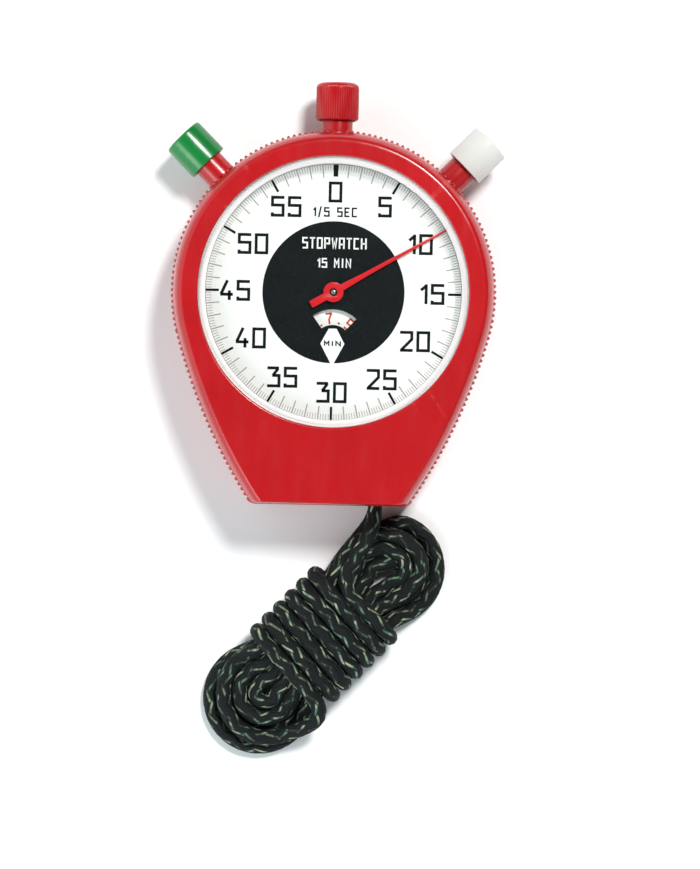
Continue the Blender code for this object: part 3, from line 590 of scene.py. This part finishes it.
def wrap_point(turns):
    """A point of the binding: it starts on top of the waist and winds round it towards the upper lobe."""
    half_height = (WRAP_HIGH - WRAP_LOW) / 2
    straight = 2 * (WRAP_HALF - half_height)
    bend = math.pi * half_height
    spot = (turns % 1.0) * 2 * (straight + bend)
    middle = (WRAP_HIGH + WRAP_LOW) / 2
    if spot < straight:
        across, height = spot - straight / 2, WRAP_HIGH
    elif spot < straight + bend:
        swing = (spot - straight) / half_height
        across = straight / 2 + half_height * math.sin(swing)
        height = middle + half_height * math.cos(swing)
    elif spot < 2 * straight + bend:
        across, height = straight / 2 - (spot - straight - bend), WRAP_LOW
    else:
        swing = (spot - 2 * straight - bend) / half_height
        across = -straight / 2 - half_height * math.sin(swing)
        height = middle - half_height * math.cos(swing)
    return hank_point(WRAP_START + WRAP_PITCH * turns, across, height)


def cord_route():
    """The whole cord: out of the foot, three turns in, three turns out, the binding, and back."""
    join_at = 9.0
    join = hank_point(join_at, side_reach(0, 0, join_at), LAYER_Z[0] + WAIST_LIFT)
    line = [np.array((CORD_X, -34.6 + i * -0.4, CORD_LOW_Z)) for i in range(6)]
    line += bezier((CORD_X, -37.2, 3.3), (CORD_X, -41.2, 1.9), hank_point(16.0, 8.3, 0.4), join)
    line += side_run(0, 0, 1, False, join_at - 0.1)
    inward, outward = (20.0, 85.0), (-85.0, -20.0)
    for ring in range(3):
        radius = RINGS[0][ring][0]
        if ring:
            line += lobe_turn(1, (RINGS[0][ring - 1][0], radius), (0, 0), inward)
            line += side_run(0, ring, 1, False)
        line += lobe_turn(-1, (radius, radius), (0, 0))
        line += side_run(0, ring, -1, True)
    line += lobe_turn(1, (RINGS[0][2][0], RINGS[1][2][0]), (0, 1), (-60.0, 60.0))
    for ring in (2, 1):
        radius = RINGS[1][ring][0]
        line += side_run(1, ring, 1, False)
        line += lobe_turn(-1, (radius, radius), (1, 1))
        line += side_run(1, ring, -1, True)
        line += lobe_turn(1, (radius, RINGS[1][ring - 1][0]), (1, 1), outward)
    line += side_run(1, 0, 1, False)
    radius = RINGS[1][0][0]
    line += lobe_turn(-1, (radius, radius + 0.8), (1, 1), (-60.0, 60.0), 155.0)
    leave = line[-1] - line[-2]
    line += bezier(line[-1], line[-1] + leave / np.linalg.norm(leave) * 5.5 + np.array((0.0, 0.0, 1.0)),
                   hank_point(WRAP_START - 0.2, -12.0, WRAP_HIGH - 0.6), wrap_point(0.0))
    steps = 72
    line += [wrap_point(i / steps) for i in range(1, steps * WRAP_TURNS + 1)]
    last = wrap_point(WRAP_TURNS)
    bend, heading = np.array((3.3, -49.6, 7.6)), np.array((0.9, 3.0, -0.9))
    line += bezier(last, last + np.array((-3.3, 3.2, 0.35)), bend - heading, bend)
    line += bezier(bend, bend + heading, (CORD_X, -43.0, 6.3), (CORD_X, -37.6, CORD_HIGH_Z))
    line += [np.array((CORD_X, -37.2 + i * 0.4, CORD_HIGH_Z)) for i in range(7)]
    return np.array(line)


def travel(line):
    """The distance along a line to each of its points."""
    return np.concatenate([[0.0], np.cumsum(np.linalg.norm(np.diff(line, axis=0), axis=1))])


def resample(line, step):
    length = travel(line)
    keep = np.concatenate([[True], np.diff(length) > 1e-6])
    line, length = line[keep], length[keep]
    spots = np.linspace(0.0, length[-1], int(round(length[-1] / step)) + 1)
    return np.stack([np.interp(spots, length, line[:, k]) for k in range(3)], axis=1)


def soften(line, passes):
    """Ease the kinks where stretches meet; the ends stay."""
    for _ in range(passes):
        line = line.copy()
        line[1:-1] = line[:-2] * 0.25 + line[1:-1] * 0.5 + line[2:] * 0.25
    return line


def braid_relief(along_mm, around):
    """Height of the strands, 0 to 1, at a distance along the cord and a share of the way round."""
    first = (along_mm / BRAID_PITCH + around) * BRAID_STRANDS
    second = (along_mm / BRAID_PITCH - around) * BRAID_STRANDS
    over = (np.floor(first) + np.floor(second)) % 4
    ridge_first = 1.0 - 2.0 * np.abs(first % 1.0 - 0.5)
    ridge_second = 1.0 - 2.0 * np.abs(second % 1.0 - 0.5)
    return np.where(over < 1.5, ridge_first, ridge_second)


def make_cord():
    """The cord as one tube with its strands in relief, laid out along its route."""
    sides, step, passes = 30, 0.4, 10
    sunk, raised = 0.06, 0.08
    line = resample(soften(resample(cord_route(), step), passes), step)
    count = len(line)
    tangent = np.gradient(line, axis=0)
    tangent /= np.linalg.norm(tangent, axis=1)[:, None]
    normal = np.zeros_like(line)
    normal[0] = np.cross(tangent[0], (1.0, 0.0, 0.0))
    for i in range(1, count):
        carried = normal[i - 1] - tangent[i] * (normal[i - 1] @ tangent[i])
        normal[i] = carried / np.linalg.norm(carried)
    across = np.cross(tangent, normal)
    travelled = travel(line)
    angle = 2 * math.pi * np.arange(sides) / sides
    relief = braid_relief(travelled[:, None], (np.arange(sides)[None, :] + 0.5) / sides)
    from_end = np.minimum(travelled, travelled[-1] - travelled)
    swell = (HANK_D - CORD_D) / 2 * np.clip((from_end - 3.0) / 4.0, 0.0, 1.0)
    radius = (CORD_D / 2 - sunk + swell)[:, None] + raised * relief
    ring = (normal[:, None, :] * np.cos(angle)[None, :, None]
            + across[:, None, :] * np.sin(angle)[None, :, None])
    points = line[:, None, :] + radius[:, :, None] * ring
    mesh = bpy.data.meshes.new("lanyard_cord")
    faces = [(i * sides + k, i * sides + (k + 1) % sides,
              (i + 1) * sides + (k + 1) % sides, (i + 1) * sides + k)
             for i in range(count - 1) for k in range(sides)]
    faces += [tuple(range(sides))[::-1], tuple((count - 1) * sides + k for k in range(sides))]
    mesh.from_pydata((points.reshape(-1, 3) * MM).tolist(), [], faces)
    layer = mesh.uv_layers.new(name="braid")
    spots = []
    for i in range(count - 1):
        for k in range(sides):
            spots += [(travelled[i], k / sides), (travelled[i], (k + 1) / sides),
                      (travelled[i + 1], (k + 1) / sides), (travelled[i + 1], k / sides)]
    spots += [(0.0, 0.0)] * sides + [(float(travelled[-1]), 0.0)] * sides
    layer.data.foreach_set("uv", np.array(spots, np.float32).ravel())
    cord = piece("lanyard_cord", mesh, CORD, "case",
                 ("lanyard_hank", "lanyard_leg_lower", "lanyard_leg_upper"), 60.0)


# ---- case


def rim(inset, depth=0.0, foot_inset=None):
    """The edge of the case moved inwards, with grip teeth on the round part and the flanks."""
    def grip(radius, start, end, teeth, centre):
        return [polar(radius - depth * low, start + (end - start) * (tooth + share) / teeth, centre)
                for tooth in range(teeth) for share, low in ((0.0, 0), (0.28, 0), (0.5, 1), (0.78, 1))]

    foot_y = FOOT_Y + (inset if foot_inset is None else foot_inset)
    flank_at = polar(CASE_R - FLANK_R, FLANK_START)
    fillet_r = max(FOOT_FILLET - inset / 2, 0.5)
    centre_y = foot_y + fillet_r
    reach = FLANK_R - inset - fillet_r
    centre_x = flank_at[0] + math.sqrt(reach ** 2 - (centre_y - flank_at[1]) ** 2)
    flank_end = math.degrees(math.atan2(centre_y - flank_at[1], centre_x - flank_at[0]))
    right = grip(FLANK_R - inset, FLANK_START, flank_end, FLANK_TEETH, flank_at)
    right += arc(fillet_r, flank_end, -90.0, 8, (centre_x, centre_y))
    steps = 40
    foot = [(centre_x - 2 * centre_x * i / steps, foot_y) for i in range(1, steps)]
    left = [(-x, y) for x, y in reversed(right)]
    crown = grip(CASE_R - inset, 180.0 - FLANK_START, FLANK_START, ROUND_TEETH, (0.0, 0.0))
    return right + foot + left + crown


def level(outline, height):
    return [(x, y, height) for x, y in outline]


def round_ring(radius, height):
    """A circle with a point for each point of the rim, on the same ray from the centre."""
    return [(*polar(radius, math.degrees(math.atan2(y, x))), height) for x, y in rim(SHOULDER_IN)]


def bush_hole(angle):
    """The hole for a button's neck, wider for its flange."""
    bore, seat = 2.75 + GAP, 3.6 + GAP
    outside, step, inside = 33.0, 26.3, 24.0
    return along(lathe([(0.0, outside), (bore, outside), (bore, step), (seat, step), (seat, inside),
                        (0.0, inside)], 64), angle)


def stepped(profile, at, steps=40):
    """A turned solid that stands on a point of the back."""
    build = lathe(profile, steps)
    bmesh.ops.translate(build, vec=(*at, 0.0), verts=build.verts)
    return build


def make_front():
    seam = SPLIT_Z + GAP / 2
    outer = [level(rim(inset), seam + rise) for inset, rise in SEAM_BEVEL]
    outer += [level(rim(0.0, TOOTH_DEPTH), seam + TOOTH_MARGIN),
              level(rim(0.0, TOOTH_DEPTH), SHOULDER_Z - 0.7),
              level(rim(0.12, TOOTH_DEPTH - 0.12, 0.0), SHOULDER_Z - 0.4),
              level(rim(SIDE_IN, 0.0, SIDE_IN * 0.3), SHOULDER_Z - 0.1)]
    for sine, cosine in quarter(9, 1):
        inset = SIDE_IN + (SHOULDER_IN - SIDE_IN) * (1 - cosine)
        foot = SIDE_IN * 0.3 + FOOT_SHARE * (inset - SIDE_IN)
        outer.append(level(rim(inset, 0.0, foot), SHOULDER_Z + (TOP_Z - SHOULDER_Z) * sine))
    lip, margin = 0.32, 0.3
    outer += [level(rim(SHOULDER_IN + margin, 0.0, foot + margin), TOP_Z),
              round_ring(OPENING_R + lip + margin, TOP_Z)]
    inner = [round_ring(OPENING_R + lip * (1 - sine), TOP_Z - lip * (1 - cosine))
             for sine, cosine in quarter(4)]
    inner += [round_ring(OPENING_R, SEAT_TOP_Z), round_ring(SEAT_R, SEAT_TOP_Z),
              round_ring(SEAT_R, CEILING_Z), level(rim(WALL), CEILING_Z), level(rim(WALL), seam)]
    build = bmesh.new()
    skin_rings(build, outer + inner, closed=True)
    front = finish_mesh("case_front_shell", build, RED, "case", ("front_case",), 30.0)
    root = CEILING_Z + 0.5
    boss = [(0.0, root), (BOSS_R, root), (BOSS_R, seam), (0.0, seam)]
    pilot = [(0.0, 12.4), (PILOT_R, 12.4), (PILOT_R, 6.0), (0.0, 6.0)]
    cut(front, [stepped(boss, at) for at in SCREWS], "UNION")
    cut(front, [bush_hole(angle) for angle in BUTTON_ANGLES.values()]
        + [stepped(pilot, at) for at in SCREWS], sharp=30.0)


def make_back():
    seam = SPLIT_Z - GAP / 2
    edge = 1.25
    base = [level(rim(SIDE_IN + edge * (1 - sine)), edge * (1 - cosine)) for sine, cosine in quarter(6)]
    walls = [level(rim(SIDE_IN), 2.2), level(rim(0.12, TOOTH_DEPTH - 0.12), 2.5),
             level(rim(0.0, TOOTH_DEPTH), 2.8), level(rim(0.0, TOOTH_DEPTH), seam - TOOTH_MARGIN)]
    walls += [level(rim(inset), seam - drop) for inset, drop in reversed(SEAM_BEVEL)]
    walls += [level(rim(WALL), seam), level(rim(WALL), FLOOR_Z)]
    build = bmesh.new()
    skin_rings(build, base + walls)
    back = finish_mesh("case_back_shell", build, RED, "case", ("back_case",), 30.0)
    boss = [(0.0, seam), (BOSS_R, seam), (BOSS_R, 0.9), (0.0, 0.9)]
    recess = [(0.0, 9.0), (PILOT_R, 9.0), (PILOT_R, 1.4), (1.7, 1.4), (1.7, 0.12), (1.95, -0.2), (0.0, -0.2)]
    cut(back, [stepped(boss, at) for at in SCREWS], "UNION")

    slot_half, slot_top = (CORD_D + 0.5) / 2, 10.0
    section = [(-slot_half, slot_top), *arc(slot_half, 180.0, 360.0, 16, (0.0, CORD_LOW_Z)),
               (slot_half, slot_top)]
    slot = bmesh.new()
    skin_rings(slot, [[(CORD_X + x, y, z) for x, z in section] for y in (-40.0, -34.0)])
    cut(back, [bush_hole(angle) for angle in BUTTON_ANGLES.values()] + [slot]
        + [stepped(recess, at) for at in SCREWS], sharp=30.0)


def make_screws():
    profile = fillet([(0.0, 11.8, 0.0), (0.7, 11.8, 0.2), (0.7, 1.3, 0.0), (1.4, 1.3, 0.08),
                      (1.4, 0.3, 0.15), (0.0, 0.3, 0.0)])
    for i, at in enumerate(SCREWS):
        name = "case_screw_%d" % (i + 1)
        screw = finish_mesh(name + "_turned", stepped(profile, at, 48), SCREW_STEEL, "case", (name,))
        blade = bmesh.new()
        bmesh.ops.create_cube(blade, size=1.0)
        bmesh.ops.scale(blade, vec=(4.0, 0.42, 0.8), verts=blade.verts)
        for vert in blade.verts:
            x, y, z = vert.co
            vert.co = (*turned(x, y, 25.0 + 70.0 * i, at), 0.4 + z)
        cut(screw, [blade])


# ---- buttons


def ribbed_cap(low, high, radius, bore, ribs, rib_depth):
    """The winding crown: fine ribs on its side that fade into a rounded top."""
    build = bmesh.new()
    per_rib = 4
    steps = ribs * per_rib

    def ring(reach, height, depth=0.0):
        return [(*polar(reach - depth * (0.0 if k % per_rib < 2 else 1.0), 360.0 * k / steps), height)
                for k in range(steps)]

    corner = 0.9
    outside = [ring(bore, low), ring(radius - rib_depth - 0.25, low), ring(radius - rib_depth, low + 0.2),
               ring(radius, low + 0.5, rib_depth), ring(radius, high - corner - 0.3, rib_depth)]
    for i, (sine, cosine) in enumerate(quarter(6)):
        depth = rib_depth * max(0.0, 1 - i / 3)
        reach = radius - corner + corner * cosine - (rib_depth - depth) * 0.4
        outside.append(ring(reach, high - corner + corner * sine, depth))
    outside += [ring(1.9, high), ring(1.7, high - 0.06), ring(0.0, high - 0.06)]
    roof = high - CAP_ROOF
    for rings in (outside, [ring(bore, low), ring(bore, roof), ring(0.0, roof)]):
        skin_rings(build, rings, caps=False)
        bmesh.ops.remove_doubles(build, verts=build.verts, dist=1e-5)
    return build


def make_buttons():
    for name, skin, slot in (("start", GREEN, "button_green"), ("reset", WHITE, "button_white")):
        top, low, radius = CAP_TOPS[name], 31.8, 3.7
        bore, roof = 2.7 + GAP + 0.05, top - CAP_ROOF
        screw_hole = [(1.5, roof, 0.0), (1.5, roof - 1.0, 0.0), (1.1, roof - 1.0, 0.0), (1.1, roof, 0.0)]
        profile = fillet([(0.0, top - 0.08, 0.0), (1.2, top, 1.0), (radius, top, 0.45), (radius, low, 0.2),
                          (bore, low, 0.12), (bore, roof, 0.0), *screw_hole, (0.0, roof, 0.0)], 6)
        finish_mesh(name + "_button_cap", along(lathe(profile, 96), BUTTON_ANGLES[name]), skin,
                    name + "_button", (name + "_cap",))
    crown = ribbed_cap(30.3, CAP_TOPS["crown"], 3.75, 3.1, 56, 0.12)
    finish_mesh("winding_crown_cap", along(crown, BUTTON_ANGLES["crown"]), RED, "crown",
                ("crown_cap",), 40.0)
    for name, neck_r in (("start", 2.7), ("reset", 2.7), ("crown", 2.75)):
        neck_top = CAP_TOPS[name] - CAP_ROOF - SPRING_ROOM
        bore, flange_r, flange_top, flange_low = 1.1, 3.6, 26.0, 24.7
        profile = fillet([(neck_r, neck_top, 0.2), (neck_r, flange_top, 0.0), (flange_r, flange_top, 0.0),
                          (flange_r, flange_low, 0.0), (bore, flange_low, 0.0), (bore, neck_top, 0.1)],
                         4, closed=True)
        finish_mesh(name + "_neck", along(lathe(profile, 72, closed=True), BUTTON_ANGLES[name]), RED, "case",
                    (name + "_bush",))


def make_springs():
    """The coil in each button."""
    turns, per_turn, coil_r, wire_r, sides, margin = 3, 48, 2.1, 0.2, 12, 0.1
    for name, joint, travel in (("start", "start_press", 1.8), ("reset", "reset_press", 1.8),
                                ("crown", "stop_press", 1.4)):
        roof = CAP_TOPS[name] - CAP_ROOF
        low, high = roof - SPRING_ROOM + wire_r + margin, roof - wire_r - margin
        rings = []
        for i in range(turns * per_turn + 1):
            share = i / (turns * per_turn)
            spin = 360.0 * i / per_turn
            rings.append([(*polar(coil_r + wire_r * math.cos(2 * math.pi * k / sides), spin),
                           low + (high - low) * share + wire_r * math.sin(2 * math.pi * k / sides))
                          for k in range(sides)])
        build = bmesh.new()
        skin_rings(build, rings)
        angle = BUTTON_ANGLES[name]
        coil = finish_mesh(name + "_spring_coil", along(build, angle), STEEL, "case",
                           (name + "_spring",))
        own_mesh(coil)


# ---- dial

# Strokes of each character on a grid 2 wide and 3 high. One that ends where it starts is closed.
STROKES = {
    "0": [[(0, 0), (2, 0), (2, 3), (0, 3), (0, 0)]],
    "1": [[(2, 3.15), (2, -0.15)], [(0, 2.15), (1.85, 2.85)]],
    "2": [[(-0.2, 3), (2, 3), (2, 1.85), (0.15, 0.12)], [(-0.15, 0), (2.2, 0)]],
    "3": [[(-0.2, 3), (1.95, 3)], [(1.8, 2.9), (0.85, 1.75)], [(0.75, 1.75), (2, 1.75), (2, 0), (-0.2, 0)]],
    "4": [[(1.15, 3.15), (0, 0.85)], [(-0.15, 0.8), (2.2, 0.8)], [(1.55, 1.45), (1.55, -0.15)]],
    "5": [[(2.2, 3), (0, 3), (0, 1.7), (2, 1.7), (2, 0), (0, 0), (0, 0.45)]],
    "7": [[(-0.2, 3), (2.1, 3)], [(1.9, 2.9), (0.85, 1.3), (0.85, -0.15)]],
    "9": [[(0, 1.5), (2, 1.5), (2, 3), (0, 3), (0, 1.5)], [(2, 1.5), (2, 0), (0.1, 0)]],
    "/": [[(0.2, -0.5), (1.6, 3.5)]],
    "S": [[(2.1, 3), (0, 3), (0, 1.6), (2, 1.6), (2, 0), (-0.1, 0)]],
    "E": [[(2.1, 3), (0, 3), (0, 0), (2.1, 0)], [(0, 1.55), (1.7, 1.55)]],
    "C": [[(2.1, 3), (0, 3), (0, 0), (2.1, 0)]],
    "M": [[(0, -0.15), (0, 3), (1, 1.3), (2, 3), (2, -0.15)]],
    "I": [[(1, 3.15), (1, -0.15)]],
    "N": [[(0, -0.15), (0, 3), (2, 0), (2, 3.15)]],
    "T": [[(-0.2, 3), (2.2, 3)], [(1, 3), (1, -0.15)]],
    "P": [[(0, -0.15), (0, 3), (2, 3), (2, 1.4), (0, 1.4)]],
    "W": [[(0, 3.15), (0.45, 0), (1, 1.9), (1.55, 0), (2, 3.15)]],
    "A": [[(0, -0.15), (0, 3), (2, 3), (2, -0.15)], [(0, 1.2), (2, 1.2)]],
    "H": [[(0, 3.15), (0, -0.15)], [(2, 3.15), (2, -0.15)], [(0, 1.5), (2, 1.5)]],
}
STROKES["O"] = STROKES["0"]
NARROW = {"1": 0.6, "I": 0.6, "/": 0.8, " ": 0.7}

# Distance of each numeral's middle from the axis, from 0 on by fives
NUMERAL_RADII = (17.5, 17.4, 17.3, 17.2, 16.6, 17.4, 17.5, 17.3, 16.5, 17.2, 16.4, 17.1)


def stroke(build, points, width, low, high, closed=False):
    """A raised line of ink with mitred corners."""
    count = len(points)
    left, right = [], []
    for i, here in enumerate(points):
        before, after = points[i - 1], points[(i + 1) % count]
        first = math.atan2(here[1] - before[1], here[0] - before[0])
        second = math.atan2(after[1] - here[1], after[0] - here[0])
        if not closed:
            first = first if i else second
            second = second if i < count - 1 else first
        heading = math.atan2(math.sin(first) + math.sin(second), math.cos(first) + math.cos(second))
        lean = max(abs(math.cos((second - first) / 2)), 0.45)
        shift = (-math.sin(heading) * width / 2 / lean, math.cos(heading) * width / 2 / lean)
        left.append((here[0] + shift[0], here[1] + shift[1]))
        right.append((here[0] - shift[0], here[1] - shift[1]))
    rows = [[build.verts.new((*a, high)), build.verts.new((*b, high)), build.verts.new((*b, low)),
             build.verts.new((*a, low))] for a, b in zip(left, right)]
    pairs = list(zip(rows, rows[1:])) + ([(rows[-1], rows[0])] if closed else [])
    for one, other in pairs:
        for k in range(4):
            build.faces.new((one[k], one[(k + 1) % 4], other[(k + 1) % 4], other[k]))
    if not closed:
        build.faces.new(rows[0][::-1])
        build.faces.new(rows[-1])


def write(build, text, middle, size, line, gap, low, high, turn=0.0):
    """Squared characters of a size (width, height) about a middle point, turned by an angle."""
    width, height = size
    widths = [width * NARROW.get(sign, 1.0) for sign in text]
    x0 = -(sum(widths) + (len(text) - 1) * gap) / 2 + line / 2
    for sign, width in zip(text, widths):
        for points in STROKES.get(sign, []):
            placed = [turned(x0 + u / 2 * (width - line), -height / 2 + line / 2 + v / 3 * (height - line),
                             turn, middle) for u, v in points]
            closed = points[0] == points[-1]
            stroke(build, placed[:-1] if closed else placed, line, low, high, closed)
        x0 += width + gap


def tick(build, angle, outer, inner, width, low, high):
    stroke(build, [polar(outer, angle), polar(inner, angle)], width, low, high)


def make_dial():
    window = [(x, y + WINDOW_Y) for x, y in arc(3.3, 47.0, 126.0, 20) + arc(6.0, 126.0, 47.0, 28)]
    hole = circle(HOLE_R, 32)
    top = DIAL_Z[1]
    ink = (top - SUNK, top + PRINT)
    finish_mesh("dial_plate", plate([circle(24.8, 192), hole, window], *DIAL_Z), DIAL_WHITE, "case",
                ("dial",))
    finish_mesh("dial_black_centre", plate([circle(BLACK_R, 160), hole, window], *ink), INK_BLACK, "case",
                sharp=40.0)

    grey = bmesh.new()
    stroke(grey, circle(TRACK_R + 0.06, 240), 0.11, *ink, closed=True)
    for count, length, width in ((300, 1.0, 0.10), (60, 2.3, 0.2)):
        for i in range(count):
            if i % 5:
                tick(grey, 90.0 - 360.0 / count * i, TRACK_R, TRACK_R - length, width, *ink)
    finish_mesh("dial_fine_ticks", grey, INK_GREY, "case", smooth=False)

    black = bmesh.new()
    for i in range(12):
        length, width = (2.3, 0.42) if i else (2.1, 0.8)
        tick(black, 90.0 - 30.0 * i, TRACK_R, TRACK_R - length, width, *ink)
    for i, radius in enumerate(NUMERAL_RADII):
        write(black, str(5 * i), polar(radius, 90.0 - 30.0 * i), (2.4, 3.65), 0.52, 0.55, *ink)
    write(black, "1/5 SEC", (0.0, 14.0), (1.02, 1.7), 0.28, 0.27, *ink)
    finish_mesh("dial_numerals", black, INK_BLACK, "case", smooth=False)

    over = top + PRINT
    ink = (over - SUNK, over + PRINT)
    white = plate([[(-0.28, -12.42), (0.28, -12.42), (2.1, -9.0), (0.68, -6.35), (-0.68, -6.35),
                    (-2.1, -9.0)]], *ink)
    write(white, "STOPWATCH", (0.0, 8.55), (1.02, 2.0), 0.27, 0.26, *ink)
    write(white, "15 MIN", (0.0, 5.1), (0.95, 1.7), 0.25, 0.26, *ink)
    finish_mesh("dial_white_print", white, DIAL_WHITE, "case", smooth=False)
    small = bmesh.new()
    write(small, "MIN", (0.0, -8.95), (1.0, 1.0), 0.25, 0.2, over + PRINT - SUNK, over + 2 * PRINT)
    finish_mesh("dial_window_label", small, INK_BLACK, "case", smooth=False)


def make_minute_disc():
    """The disc under the window: odd minutes as numerals, even ones as dots."""
    centre, height = (0.0, WINDOW_Y), (12.3, 12.6)
    shown, shown_at = 7, 98.0
    disc = plate([circle(6.4, 120, centre), circle(0.75, 32, centre)], *height)
    finish_mesh("minute_disc_plate", disc, DIAL_WHITE, "minute", ("minute_disc",))
    marks = bmesh.new()
    low, high = height[1] - SUNK, height[1] + PRINT
    for minute in range(1, 16):
        angle = shown_at - 360.0 / 15 * (minute - shown)
        if minute % 2:
            text = str(minute)
            width = 1.3 if len(text) == 1 else 0.85
            write(marks, text, polar(4.45, angle, centre), (width, 2.1), 0.32, 0.18, low, high, angle - 90.0)
        else:
            skin_rings(marks, [level(circle(0.2, 16, polar(3.75, angle, centre)), z) for z in (low, high)])
    finish_mesh("minute_disc_numerals", marks, INK_RED, "minute", smooth=False)


def make_hand():
    """The sweep hand: a flat blade that tapers to its tip, a round hub and a short square tail."""
    tip, hub, tail, wide = 22.5, 1.75, 4.5, 0.65
    outline = ([(6.0, -0.40), (tip, -0.16), (tip + 0.1, 0.0), (tip, 0.16), (6.0, 0.40)]
               + arc(hub, 20.0, 158.0, 28)
               + [(-tail + 0.1, wide), (-tail, wide - 0.1), (-tail, 0.1 - wide), (-tail + 0.1, -wide)]
               + arc(hub, 202.0, 340.0, 28))
    outline = [turned(x, y, HAND_ANGLE) for x, y in outline]
    hand = finish_mesh("sweep_hand_blade", plate([outline, circle(0.7, 40)], *HAND_Z), HAND_RED, "sweep",
                       ("sweep_hand",), 40.0)
    # its texture coordinates are unused
    hand.data.uv_layers.remove(hand.data.uv_layers[0])
    edge = hand.modifiers.new("Edge", "BEVEL")
    edge.width = 0.07 * MM
    edge.segments = 2
    edge.limit_method = "ANGLE"
    edge.angle_limit = math.radians(60.0)
    apply_modifiers(hand, 40.0)
    tip_r, tip_top, tip_low = 0.36, 14.78, 14.72
    collar = fillet([(0.0, tip_top, 0.0), (tip_r, tip_top, 0.08), (tip_r, tip_low, 0.0),
                     (0.0, tip_low, 0.0)], 3)
    finish_mesh("hand_centre_tip", lathe(collar, 32), STEEL, "sweep")


def make_crystal():
    """The flat crystal with its ground bevel and skirt, and the white ring that it stands on."""
    top, bevel_low, under, low = 17.1, 16.5, 15.7, 15.0
    flat_r, side_r, skirt_r, flange_r = 22.4, 23.3, 22.9, 24.8
    profile = fillet([(0.0, top, 0.0), (flat_r, top, 0.15), (side_r, bevel_low, 0.12), (side_r, under, 0.0),
                      (flange_r, under, 0.0), (flange_r, low, 0.0), (skirt_r, low, 0.0),
                      (skirt_r, under, 0.0), (0.0, under, 0.0)], 4)
    lens = finish_mesh("crystal_lens", lathe(profile, 192), CRYSTAL, "case", ("crystal",), 25.0)
    lens.data.materials.append(CRYSTAL_EDGE)
    for face in lens.data.polygons:
        reach = math.hypot(face.center.x, face.center.y) / MM
        if face.normal.z > 0.3 and flat_r - 0.05 < reach < side_r + 0.1:
            face.material_index = 1
    ring_top, ring_low, ring_r, edge = 14.9, 13.7, 23.45, 0.1
    ring = fillet([(flange_r, ring_top, edge), (flange_r, ring_low, edge), (ring_r, ring_low, edge),
                   (ring_r, ring_top, edge)], 3, closed=True)
    finish_mesh("crystal_seat_ring", lathe(ring, 192, closed=True), DIAL_WHITE, "case",
                ("crystal_ring",))


# ---- movement


def dress_movement():
    """Every piece that keeps its own mesh gets the finish of its metal."""
    finishes = {"brass": BRASS, "nickel": NICKEL, "blued_steel": BLUE, "steel": STEEL}
    for row in frame["record"]["subparts"]:
        node = frame["nodes"][row["node"]]
        if node.hide_render or row["material_slot"] not in finishes:
            continue
        node.data.materials.clear()
        node.data.materials.append(finishes[row["material_slot"]])


make_camera()
make_floor()
make_world()
make_lights()
make_cord()
make_front()
make_back()
make_screws()
make_buttons()
make_springs()
make_dial()
make_minute_disc()
make_hand()
make_crystal()
dress_movement()
